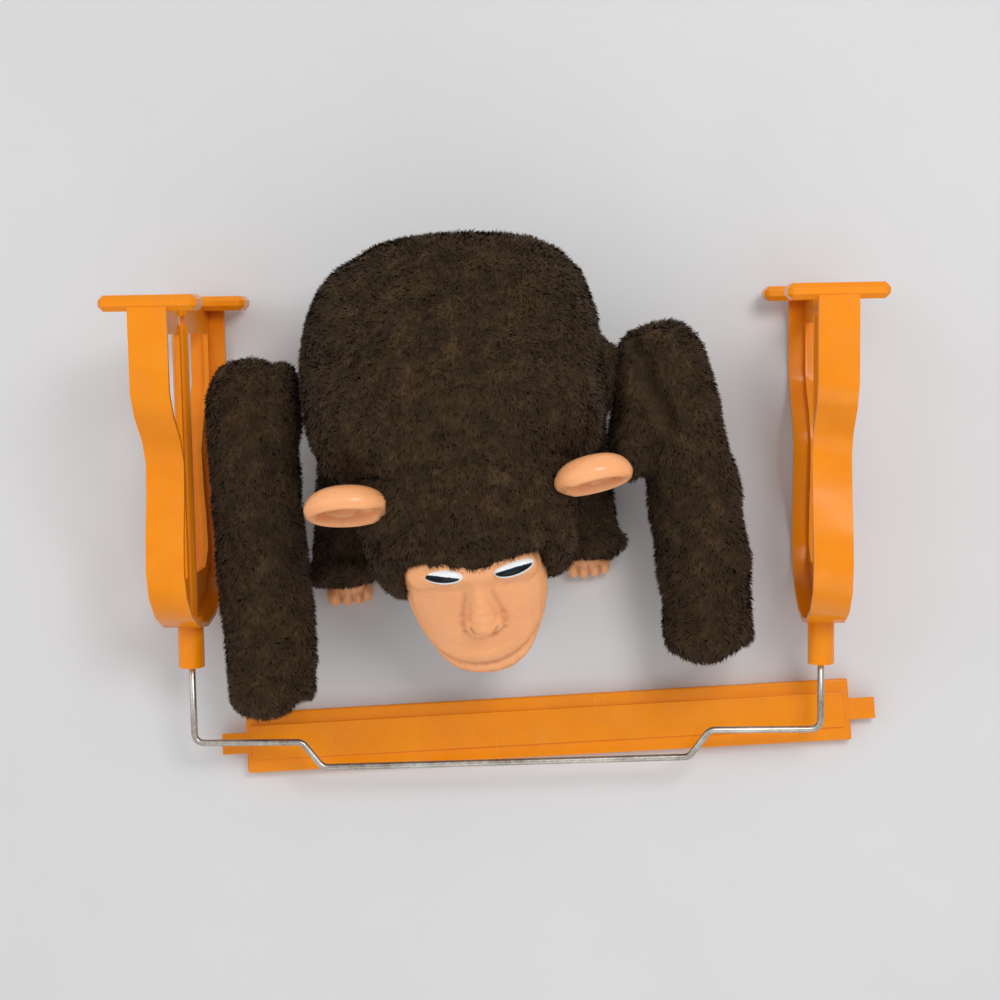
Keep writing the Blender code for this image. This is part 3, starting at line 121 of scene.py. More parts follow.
class Wiring:
    """Short calls that add nodes to a tree and join them."""

    def __init__(self, tree: Nodes) -> None:
        """Keeps the tree that the other calls add to."""
        self.tree = tree

    def node(self, kind: str, **settings: object) -> bpy.types.Node:
        """Adds a node and sets its options.

        Args:
            kind: The node's type, less the ShaderNode in front.
            settings: Options of the node by name.

        Returns:
            The new node.
        """
        made = self.tree.nodes.new("ShaderNode" + kind)
        for name, value in settings.items():
            setattr(made, name, value)
        return made

    def join(self, source: object, target: object) -> None:
        """Joins an output to an input, or sets the input to a plain value.

        Args:
            source: The output, or the value.
            target: The input.
        """
        if isinstance(source, bpy.types.NodeSocket):
            self.tree.links.new(source, target)
        else:
            target.default_value = source

    def math(self, operation: str, *values: object, clamp: bool = False) -> object:
        """Adds a Math node.

        Args:
            operation: The node's operation.
            values: Its inputs in order, as sockets or numbers.
            clamp: Whether the result is kept between 0 and 1.

        Returns:
            The node's output.
        """
        made = self.node("Math", operation=operation, use_clamp=clamp)
        for value, socket in zip(values, made.inputs):
            self.join(value, socket)
        return made.outputs[0]

    def place(self) -> object:
        """The point's place on the object, which moves with the piece."""
        return self.node("TexCoord").outputs["Object"]

    def noise(self, place: object, scale: object, detail: float = 3.0, rough: float = 0.55) -> object:
        """Adds a noise texture.

        Args:
            place: Where it is read.
            scale: Its scale, as a number or a socket.
            detail: How many finer layers it holds.
            rough: How strong those layers are.

        Returns:
            Its value.
        """
        made = self.node("TexNoise")
        self.join(place, made.inputs["Vector"])
        self.join(scale, made.inputs["Scale"])
        made.inputs["Detail"].default_value = detail
        made.inputs["Roughness"].default_value = rough
        return made.outputs["Fac"]

    def raised(self, base: object, mask: object, amount: float) -> object:
        """A value that grows by an amount where a mask is 1."""
        return self.math("ADD", base, self.math("MULTIPLY", mask, amount))

    def mark(self, name: str) -> object:
        """A number that the mesh carries for each point."""
        return self.node("Attribute", attribute_name=name).outputs["Fac"]

    def spread(
        self, value: object, low: float, high: float, start: float = 0.0, end: float = 1.0
    ) -> object:
        """Maps a value from one range to another, and keeps it there.

        Args:
            value: What is mapped.
            low: Where its range starts.
            high: Where its range ends.
            start: The result at low and below.
            end: The result at high and above.

        Returns:
            The mapped value.
        """
        made = self.node("MapRange")
        for source, name in ((value, "Value"), (low, "From Min"), (high, "From Max")):
            self.join(source, made.inputs[name])
        made.inputs["To Min"].default_value = start
        made.inputs["To Max"].default_value = end
        return made.outputs["Result"]

    def mix(self, share: object, first: object, second: object, how: str = "MIX") -> object:
        """Mixes two colours.

        Args:
            share: How much of the second shows, from 0 to 1.
            first: A colour or a colour socket.
            second: The same.
            how: The way they mix.

        Returns:
            The mixed colour.
        """
        made = self.node("Mix", data_type="RGBA", blend_type=how)
        self.join(share, made.inputs["Factor"])
        for value, index in ((first, 6), (second, 7)):
            if isinstance(value, tuple):
                value = (*value[:3], 1.0)
            self.join(value, made.inputs[index])
        return made.outputs[2]

    def stretched(self, place: object, scale: Triple) -> object:
        """A place that is drawn out along some axes.

        Args:
            place: The place's socket.
            scale: How often the pattern repeats along each axis, against before.

        Returns:
            The drawn-out place.
        """
        made = self.node("Mapping")
        self.join(place, made.inputs["Vector"])
        made.inputs["Scale"].default_value = scale
        return made.outputs["Vector"]


class Mottle(ShaderGroup):
    """Cloudy variation at one scale, with finer variation over it."""

    name = "mottle"
    inputs = (
        ("Coarse Scale", Socket.NUMBER, 20.0),
        ("Fine Scale", Socket.NUMBER, 160.0),
        ("Dark", Socket.COLOUR, (0.1, 0.1, 0.1, 1.0)),
        ("Light", Socket.COLOUR, (0.3, 0.3, 0.3, 1.0)),
    )
    outputs = (("Color", Socket.COLOUR), ("Value", Socket.NUMBER))

    @classmethod
    def wire(cls, wiring: Wiring, start: bpy.types.Node, end: bpy.types.Node) -> None:
        """Adds two noises and a mix of the two colours.

        Args:
            wiring: The group's wiring.
            start: The group's inputs.
            end: The group's outputs.
        """
        place = wiring.place()
        coarse = wiring.noise(place, start.outputs["Coarse Scale"], 4.0)
        fine = wiring.noise(place, start.outputs["Fine Scale"], 3.0)
        both = wiring.math("ADD", wiring.math("MULTIPLY", coarse, 0.6), wiring.math("MULTIPLY", fine, 0.4))
        value = wiring.spread(both, 0.36, 0.64)
        colour = wiring.mix(value, start.outputs["Dark"], start.outputs["Light"])
        wiring.join(colour, end.inputs["Color"])
        wiring.join(value, end.inputs["Value"])


class Dust(ShaderGroup):
    """A mask of settled dust, heavier on faces that look up."""

    name = "settled_dust"
    inputs = (("Amount", Socket.NUMBER, 0.3), ("Scale", Socket.NUMBER, 60.0))
    outputs = (("Mask", Socket.NUMBER),)

    @classmethod
    def wire(cls, wiring: Wiring, start: bpy.types.Node, end: bpy.types.Node) -> None:
        """Multiplies the upward slope by a patchy noise.

        Args:
            wiring: The group's wiring.
            start: The group's inputs.
            end: The group's outputs.
        """
        slope = wiring.node("SeparateXYZ")
        wiring.join(wiring.node("NewGeometry").outputs["Normal"], slope.inputs[0])
        up = wiring.spread(slope.outputs["Z"], 0.1, 1.0)
        patches = wiring.spread(wiring.noise(wiring.place(), start.outputs["Scale"], 6.0, 0.7), 0.42, 0.75)
        mask = wiring.math("MULTIPLY", wiring.math("MULTIPLY", up, patches), start.outputs["Amount"])
        wiring.join(mask, end.inputs["Mask"])


class Scuffs(ShaderGroup):
    """Fine rubbed lines and specks, as a mask."""

    name = "scuffs"
    inputs = (("Scale", Socket.NUMBER, 90.0), ("Amount", Socket.NUMBER, 0.5))
    outputs = (("Mask", Socket.NUMBER),)

    @classmethod
    def wire(cls, wiring: Wiring, start: bpy.types.Node, end: bpy.types.Node) -> None:
        """Takes the crests of a drawn-out noise and breaks them up with a second one.

        Args:
            wiring: The group's wiring.
            start: The group's inputs.
            end: The group's outputs.
        """
        place = wiring.place()
        lines = wiring.noise(wiring.stretched(place, (9.0, 0.8, 0.8)), start.outputs["Scale"], 4.0, 0.7)
        crests = wiring.spread(lines, 0.62, 0.72)
        breaks = wiring.spread(wiring.noise(place, 45.0, 3.0), 0.45, 0.65)
        mask = wiring.math("MULTIPLY", wiring.math("MULTIPLY", crests, breaks), start.outputs["Amount"])
        wiring.join(mask, end.inputs["Mask"])


# Finishes


def grouped(wiring: Wiring, group: type[ShaderGroup], **values: object) -> bpy.types.Node:
    """Places a shader group with its own values.

    Args:
        wiring: The material's wiring.
        group: The effect.
        values: Input values by name, with underscores for spaces.

    Returns:
        The group node.
    """
    made = wiring.node("Group", node_tree=group.tree())
    for name, value in values.items():
        socket = made.inputs[name.replace("_", " ")]
        if isinstance(value, tuple):
            value = (*value[:3], 1.0)
        wiring.join(value, socket)
    return made


def bumped(wiring: Wiring, height: object, distance: float, strength: float, base: object = None) -> object:
    """A Bump node over a height.

    Args:
        wiring: The material's wiring.
        height: The height's socket.
        distance: How far a height of 1 stands out, in metres.
        strength: How much of it shows.
        base: A normal to start from.

    Returns:
        The bumped normal.
    """
    made = wiring.node("Bump")
    made.inputs["Distance"].default_value = distance
    made.inputs["Strength"].default_value = strength
    wiring.join(height, made.inputs["Height"])
    if base is not None:
        wiring.join(base, made.inputs["Normal"])
    return made.outputs["Normal"]


class Finish:
    """A material that is made once and then shared."""

    name: str = "finish"

    def material(self) -> bpy.types.Material:
        """Finds the material, or makes it.

        Returns:
            The material.
        """
        found = bpy.data.materials.get(self.name)
        if found:
            return found
        made = bpy.data.materials.new(self.name)
        made.use_nodes = True
        shader = made.node_tree.nodes["Principled BSDF"]
        self.dress(Wiring(made.node_tree), shader)
        return made

    def dress(self, wiring: Wiring, shader: bpy.types.Node) -> None:
        """Sets the shader and adds what feeds it.

        Args:
            wiring: The material's wiring.
            shader: The material's Principled BSDF.
        """
        raise NotImplementedError

    def cover(self, piece: bpy.types.Object) -> None:
        """Gives the material to every slot of a piece.

        Args:
            piece: The piece.
        """
        if not piece.data.materials:
            piece.data.materials.append(None)
        for slot in piece.material_slots:
            slot.link = "OBJECT"
            slot.material = self.material()


@dataclass(frozen=True)
class Fur(Finish):
    """Short dense pile with lighter tips, and darker partings where it clumps."""

    name: str = "short_fur"
    root: Colour = (0.020, 0.0115, 0.0052)
    tip: Colour = (0.128, 0.074, 0.034)
    rust: Colour = (0.150, 0.078, 0.030)
    sheen: Colour = (0.75, 0.55, 0.42)

    def dress(self, wiring: Wiring, shader: bpy.types.Node) -> None:
        """Mixes root and tip by clump noises, and roughens the light with a soft sheen.

        Args:
            wiring: The material's wiring.
            shader: The material's Principled BSDF.
        """
        place = wiring.place()
        clump = wiring.spread(wiring.noise(place, 95.0, 4.0, 0.6), 0.33, 0.68)
        drawn = wiring.stretched(place, (1.0, 0.35, 0.35))
        strand = wiring.spread(wiring.noise(drawn, 900.0, 2.0), 0.3, 0.72)
        patch = wiring.spread(wiring.noise(place, 14.0, 3.0), 0.35, 0.7)
        height = wiring.mark("pile")
        clumps, strands = wiring.math("MULTIPLY", clump, 0.45), wiring.math("MULTIPLY", strand, 0.55)
        share = wiring.math("MULTIPLY", wiring.math("ADD", clumps, strands), height)
        tips = wiring.mix(wiring.math("MULTIPLY", patch, 0.45), self.tip, self.rust)
        colour = wiring.mix(share, self.root, tips)
        wiring.join(colour, shader.inputs["Base Color"])
        shader.inputs["Roughness"].default_value = 0.85
        shader.inputs["Specular IOR Level"].default_value = 0.18
        shader.inputs["Sheen Weight"].default_value = 0.12
        shader.inputs["Sheen Roughness"].default_value = 0.45
        shader.inputs["Sheen Tint"].default_value = (*self.sheen, 1.0)
        wiring.join(bumped(wiring, strand, 0.0007, 0.5), shader.inputs["Normal"])


@dataclass(frozen=True)
class Vinyl(Finish):
    """Flesh-coloured vinyl with a warm flush and a low sheen, with painted shade in its hollows and
    creases.
    """

    name: str = "flesh_vinyl"
    pale: Colour = (0.97, 0.44, 0.185)
    flushed: Colour = (0.80, 0.30, 0.12)
    painted_shade: Colour = (0.22, 0.09, 0.04)
    dust: Colour = (0.60, 0.36, 0.22)
    roughness: float = 0.24

    def dress(self, wiring: Wiring, shader: bpy.types.Node) -> None:
        """Mixes the two tones, then paints shade into the hollows and creases that the shade mark holds.

        Args:
            wiring: The material's wiring.
            shader: The material's Principled BSDF.
        """
        tone = grouped(
            wiring, Mottle, Coarse_Scale=26.0, Fine_Scale=210.0, Dark=self.flushed, Light=self.pale
        )
        shade = wiring.mark("shade")
        calm = wiring.mix(0.75, tone.outputs["Color"], self.pale)
        # Painted shade: the shade mark darkens creases, hollows and lid rims towards the shade colour.
        colour = wiring.mix(wiring.math("MULTIPLY", shade, 0.75), calm, self.painted_shade)
        dust = grouped(wiring, Dust, Amount=0.05, Scale=70.0)
        colour = wiring.mix(dust.outputs["Mask"], colour, self.dust)
        wiring.join(colour, shader.inputs["Base Color"])
        rough = wiring.raised(self.roughness, tone.outputs["Value"], 0.12)
        rough = wiring.raised(rough, dust.outputs["Mask"], 0.4)
        wiring.join(rough, shader.inputs["Roughness"])
        shader.inputs["Subsurface Weight"].default_value = 0.12
        shader.inputs["Subsurface Radius"].default_value = (0.006, 0.003, 0.002)
        shader.inputs["Subsurface Scale"].default_value = 1.0
        grain = wiring.noise(wiring.place(), 900.0, 2.0)
        wiring.join(bumped(wiring, grain, 0.00012, 0.35), shader.inputs["Normal"])


@dataclass(frozen=True)
class FramePlastic(Finish):
    """Glossy amber moulded plastic with faint flow marks, scuffs and dust."""

    name: str = "amber_plastic"
    bright: Colour = (0.92, 0.285, 0.0008)
    deep: Colour = (0.80, 0.205, 0.0005)
    rubbed: Colour = (0.96, 0.42, 0.05)
    dust: Colour = (0.60, 0.34, 0.12)
    roughness: float = 0.20

    def dress(self, wiring: Wiring, shader: bpy.types.Node) -> None:
        """Adds flow marks to the colour, and scuffs and dust to the gloss.

        Args:
            wiring: The material's wiring.
            shader: The material's Principled BSDF.
        """
        flow = grouped(wiring, Mottle, Coarse_Scale=9.0, Fine_Scale=55.0, Dark=self.deep, Light=self.bright)
        scuffs = grouped(wiring, Scuffs, Scale=70.0, Amount=0.45)
        dust = grouped(wiring, Dust, Amount=0.10, Scale=48.0)
        colour = wiring.mix(0.4, flow.outputs["Color"], self.bright)
        colour = wiring.mix(scuffs.outputs["Mask"], colour, self.rubbed)
        colour = wiring.mix(dust.outputs["Mask"], colour, self.dust)
        wiring.join(colour, shader.inputs["Base Color"])
        rough = wiring.raised(self.roughness, scuffs.outputs["Mask"], 0.35)
        rough = wiring.raised(rough, dust.outputs["Mask"], 0.8)
        wiring.join(rough, shader.inputs["Roughness"])
        shader.inputs["Specular IOR Level"].default_value = 0.3
        ripple = wiring.noise(wiring.place(), 75.0, 2.0)
        wiring.join(bumped(wiring, ripple, 0.0003, 0.25), shader.inputs["Normal"])


@dataclass(frozen=True)
class WireSteel(Finish):
    """Drawn steel wire, dulled in patches, with specks of tarnish."""

    name: str = "drawn_steel"
    clean: Colour = (0.64, 0.61, 0.56)
    dull: Colour = (0.33, 0.3, 0.26)
    rust: Colour = (0.2, 0.1, 0.05)
    roughness: float = 0.26

    def dress(self, wiring: Wiring, shader: bpy.types.Node) -> None:
        """Mixes clean and dull metal, with rust where a fine noise peaks.

        Args:
            wiring: The material's wiring.
            shader: The material's Principled BSDF.
        """
        tone = grouped(
            wiring, Mottle, Coarse_Scale=35.0, Fine_Scale=420.0, Dark=self.dull, Light=self.clean
        )
        specks = wiring.spread(wiring.noise(wiring.place(), 260.0, 5.0, 0.7), 0.63, 0.72)
        wiring.join(wiring.mix(specks, tone.outputs["Color"], self.rust), shader.inputs["Base Color"])
        wiring.join(wiring.spread(specks, 0.0, 1.0, 1.0, 0.35), shader.inputs["Metallic"])
        rough = wiring.raised(self.roughness, tone.outputs["Value"], 0.14)
        wiring.join(wiring.raised(rough, specks, 0.35), shader.inputs["Roughness"])
        drawn = wiring.noise(wiring.place(), 1400.0, 2.0)
        wiring.join(bumped(wiring, drawn, 0.00008, 0.3), shader.inputs["Normal"])


@dataclass(frozen=True)
class PlainMoulding(Finish):
    """Matt moulded plastic, grained by its mould."""

    name: str = "dark_moulding"
    dark: Colour = (0.022, 0.02, 0.018)
    light: Colour = (0.045, 0.042, 0.038)
    roughness: float = 0.5

    def dress(self, wiring: Wiring, shader: bpy.types.Node) -> None:
        """Adds the mould's grain and scuffs.

        Args:
            wiring: The material's wiring.
            shader: The material's Principled BSDF.
        """
        tone = grouped(
            wiring, Mottle, Coarse_Scale=18.0, Fine_Scale=260.0, Dark=self.dark, Light=self.light
        )
        scuffs = grouped(wiring, Scuffs, Scale=110.0, Amount=0.6)
        lifted = tuple(min(1.0, part * 2.2 + 0.02) for part in self.light)
        colour = wiring.mix(scuffs.outputs["Mask"], tone.outputs["Color"], lifted)
        wiring.join(colour, shader.inputs["Base Color"])
        rough = wiring.raised(self.roughness, tone.outputs["Value"], 0.15)
        wiring.join(rough, shader.inputs["Roughness"])
        grain = wiring.noise(wiring.place(), 1300.0, 2.0)
        wiring.join(bumped(wiring, grain, 0.0001, 0.5), shader.inputs["Normal"])


@dataclass(frozen=True)
class BareMetal(Finish):
    """Metal that is ground, stamped or sleeved."""

    name: str = "ground_steel"
    bright: Colour = (0.66, 0.65, 0.63)
    worn: Colour = (0.42, 0.4, 0.37)
    roughness: float = 0.22
    metallic: float = 1.0

    def dress(self, wiring: Wiring, shader: bpy.types.Node) -> None:
        """Adds stains and rubbed lines, which also dull the gloss.

        Args:
            wiring: The material's wiring.
            shader: The material's Principled BSDF.
        """
        tone = grouped(
            wiring, Mottle, Coarse_Scale=50.0, Fine_Scale=500.0, Dark=self.worn, Light=self.bright
        )
        scuffs = grouped(wiring, Scuffs, Scale=160.0, Amount=0.7)
        colour = wiring.mix(scuffs.outputs["Mask"], tone.outputs["Color"], self.worn)
        wiring.join(colour, shader.inputs["Base Color"])
        shader.inputs["Metallic"].default_value = self.metallic
        rough = wiring.raised(self.roughness, scuffs.outputs["Mask"], 0.3)
        wiring.join(rough, shader.inputs["Roughness"])


@dataclass(frozen=True)
class PaintedEye(Finish):
    """A glossy white eye, dark below a blue band, as its iris mark says."""

    name: str = "painted_eye"
    white: Colour = (0.93, 0.95, 0.95)
    clouded: Colour = (0.60, 0.63, 0.66)
    iris: Colour = (0.0006, 0.0010, 0.0016)
    glow: Colour = (0.006, 0.030, 0.058)

    def dress(self, wiring: Wiring, shader: bpy.types.Node) -> None:
        """Mixes white and iris by the iris mark.

        Args:
            wiring: The material's wiring.
            shader: The material's Principled BSDF.
        """
        iris = wiring.mark("iris")
        dark = wiring.mix(wiring.spread(iris, 0.5, 0.9), self.glow, self.iris)
        clouds = wiring.spread(wiring.noise(wiring.place(), 120.0, 3.0), 0.3, 0.8, 0.0, 0.2)
        white = wiring.mix(clouds, self.white, self.clouded)
        wiring.join(wiring.mix(wiring.spread(iris, 0.1, 0.4), white, dark), shader.inputs["Base Color"])
        shader.inputs["Roughness"].default_value = 0.14
        shader.inputs["Specular IOR Level"].default_value = 0.2
        shader.inputs["Coat Weight"].default_value = 0.12
        shader.inputs["Coat Roughness"].default_value = 0.04


@dataclass(frozen=True)
class Floor(Finish):
    """The plain pale ground that the set lies on."""

    name: str = "pale_floor"
    dark: Colour = (0.70, 0.70, 0.71)
    light: Colour = (0.72, 0.72, 0.73)

    def dress(self, wiring: Wiring, shader: bpy.types.Node) -> None:
        """Sets a matt grey with the faintest clouds.

        Args:
            wiring: The material's wiring.
            shader: The material's Principled BSDF.
        """
        tone = grouped(wiring, Mottle, Coarse_Scale=3.0, Fine_Scale=14.0, Dark=self.dark, Light=self.light)
        wiring.join(tone.outputs["Color"], shader.inputs["Base Color"])
        shader.inputs["Roughness"].default_value = 0.9
        shader.inputs["Specular IOR Level"].default_value = 0.2


FUR = Fur()
VINYL = Vinyl()
AMBER = FramePlastic()
STEEL_WIRE = WireSteel()
CASING = PlainMoulding()
GEAR_PLASTIC = PlainMoulding("natural_moulding", (0.52, 0.5, 0.43), (0.7, 0.68, 0.61), 0.38)
SHAFT_STEEL = BareMetal()
BRASS = BareMetal("contact_brass", (0.72, 0.5, 0.2), (0.5, 0.33, 0.13), 0.25)
CELL_JACKET = BareMetal("cell_jacket", (0.03, 0.045, 0.09), (0.02, 0.03, 0.06), 0.35, 0.0)
EYE = PaintedEye()


# Mesh tools


def ridden(piece: bpy.types.Object, body: str, slot: str, *nodes: str) -> bpy.types.Object:
    """Ties a piece to the CAD: its body and the nodes that it stands for.

    Args:
        piece: The new object.
        body: The CAD body that it moves with.
        slot: Not used.
        nodes: CAD nodes that it replaces.

    Returns:
        The same object.
    """
    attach(piece, body)
    if nodes:
        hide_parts(*nodes)
    log.info("%s: %d faces, rides on %s", piece.name, len(piece.data.polygons), body)
    return piece


def linked(name: str, mesh: bpy.types.Mesh) -> bpy.types.Object:
    """Puts a mesh in the scene as a new object.

    Args:
        name: The object's name.
        mesh: The mesh.

    Returns:
        The new object.
    """
    made = bpy.data.objects.new(name, mesh)
    bpy.context.scene.collection.objects.link(made)
    return made


def node_copy(node: str, name: str) -> bpy.types.Object:
    """A new object with a copy of a CAD node's mesh.

    Args:
        node: The CAD node.
        name: The new object's name.

    Returns:
        The new object, unmodified.
    """
    source = bpy.data.objects[node]
    made = linked(name, source.data.copy())
    made.matrix_world = source.matrix_world.copy()
    made.data.materials.clear()
    return made


def settled(piece: bpy.types.Object) -> bpy.types.Object:
    """Applies a piece's modifiers.

    Args:
        piece: The piece.

    Returns:
        The same piece.
    """
    graph = bpy.context.evaluated_depsgraph_get()
    mesh = bpy.data.meshes.new_from_object(piece.evaluated_get(graph), depsgraph=graph)
    piece.modifiers.clear()
    old = piece.data
    piece.data = mesh
    bpy.data.meshes.remove(old)
    return piece


def remeshed(piece: bpy.types.Object, voxel: float, smooth: int = 0) -> bpy.types.Object:
    """Gives a piece an even mesh.

    Args:
        piece: The piece.
        voxel: The new faces' size, in metres.
        smooth: How often it is then relaxed.

    Returns:
        The same piece.
    """
    modifier = piece.modifiers.new("even", "REMESH")
    modifier.mode = "VOXEL"
    modifier.voxel_size = voxel
    modifier.use_smooth_shade = True
    if smooth:
        relax = piece.modifiers.new("relax", "SMOOTH")
        relax.factor = 0.5
        relax.iterations = smooth
    return settled(piece)


def places(mesh: bpy.types.Mesh) -> np.ndarray:
    """A mesh's points as rows.

    Args:
        mesh: The mesh.

    Returns:
        A row of three numbers for each point.
    """
    flat = np.empty(len(mesh.vertices) * 3)
    mesh.vertices.foreach_get("co", flat)
    return flat.reshape(-1, 3)


def normals(mesh: bpy.types.Mesh) -> np.ndarray:
    """A mesh's point normals as rows.

    Args:
        mesh: The mesh.

    Returns:
        A row of three numbers for each point.
    """
    flat = np.empty(len(mesh.vertices) * 3)
    mesh.vertex_normals.foreach_get("vector", flat)
    return flat.reshape(-1, 3)


def set_places(mesh: bpy.types.Mesh, points: np.ndarray) -> None:
    """Moves a mesh's points."""
    mesh.vertices.foreach_set("co", np.ascontiguousarray(points, dtype=np.float32).ravel())
    mesh.update()


def set_mark(mesh: bpy.types.Mesh, name: str, values: np.ndarray) -> None:
    """Stores a number for each point under a name that the finishes read."""
    mark = mesh.attributes.get(name) or mesh.attributes.new(name, "FLOAT", "POINT")
    mark.data.foreach_set("value", np.ascontiguousarray(values, dtype=np.float32))


def waves(points: np.ndarray, size: float, seed: int, layers: int = 3) -> np.ndarray:
    """Smooth seeded noise made of crossing waves.

    Args:
        points: Where it is read, in metres.
        size: The width of its larger bumps, in metres.
        seed: Its seed.
        layers: How many finer layers it has.

    Returns:
        A value from about -1 to 1 for each point.
    """
    draw = np.random.default_rng(seed)
    total = np.zeros(len(points))
    for layer in range(layers):
        share = 0.55**layer
        for _ in range(7):
            way = draw.normal(size=3)
            way *= 2.3**layer * 2 * pi / (2 * size * np.linalg.norm(way))
            total += share * np.sin(points @ way + draw.uniform(0, 2 * pi)) / 3.2
    return total


def shaded_smooth(mesh: bpy.types.Mesh) -> None:
    """Turns smooth shading on for every face."""
    mesh.polygons.foreach_set("use_smooth", np.ones(len(mesh.polygons), dtype=bool))
    mesh.update()


@dataclass(frozen=True)
class Brush:
    """One stroke of the modelling tool, in a piece's own axes.

    Fields hold the stroke's two ends, its reach across, how far it lifts and how deep it shades.
    """

    start: Triple
    end: Triple
    reach: float
    lift: float
    shade: float = 0.0

    def weight(self, points: np.ndarray) -> np.ndarray:
        """How strongly the stroke acts on each point.

        Args:
            points: Places in the stroke's axes.

        Returns:
            1 on the stroke's line, less beside it.
        """
        first, last = np.array(self.start), np.array(self.end)
        run = last - first
        length = max(float(run @ run), 1e-12)
        along = np.clip((points - first) @ run / length, 0.0, 1.0)
        gap = np.linalg.norm(points - first - along[:, None] * run, axis=1)
        return np.exp(-((gap / self.reach) ** 2))


def sculpted(mesh: bpy.types.Mesh, axes: Matrix, brushes: list[Brush]) -> np.ndarray:
    """Presses and lifts a mesh along its normals.

    Args:
        mesh: The mesh, in world places.
        axes: The axes that the brushes are given in.
        brushes: The strokes, in order.

    Returns:
        How much painted shade each point takes, from 0 to 1.
    """
    points, outward = places(mesh), normals(mesh)
    back = np.array(axes.inverted())
    own = points @ back[:3, :3].T + back[:3, 3]
    lift, shade = np.zeros(len(points)), np.zeros(len(points))
    for brush in brushes:
        weight = brush.weight(own)
        lift += brush.lift * weight
        shade = np.maximum(shade, brush.shade * weight**1.5)
    set_places(mesh, points + outward * lift[:, None])
    return shade


# The plush

GROUND = CAD_BOX[0][2] + 0.0004
EAR_CLEAR = 0.0235
EAR_BARE = (-0.006, 0.016)
EAR_PRESSED = (-0.004, 0.016)
RAY_START = 0.004
RAY_FREE = 0.16


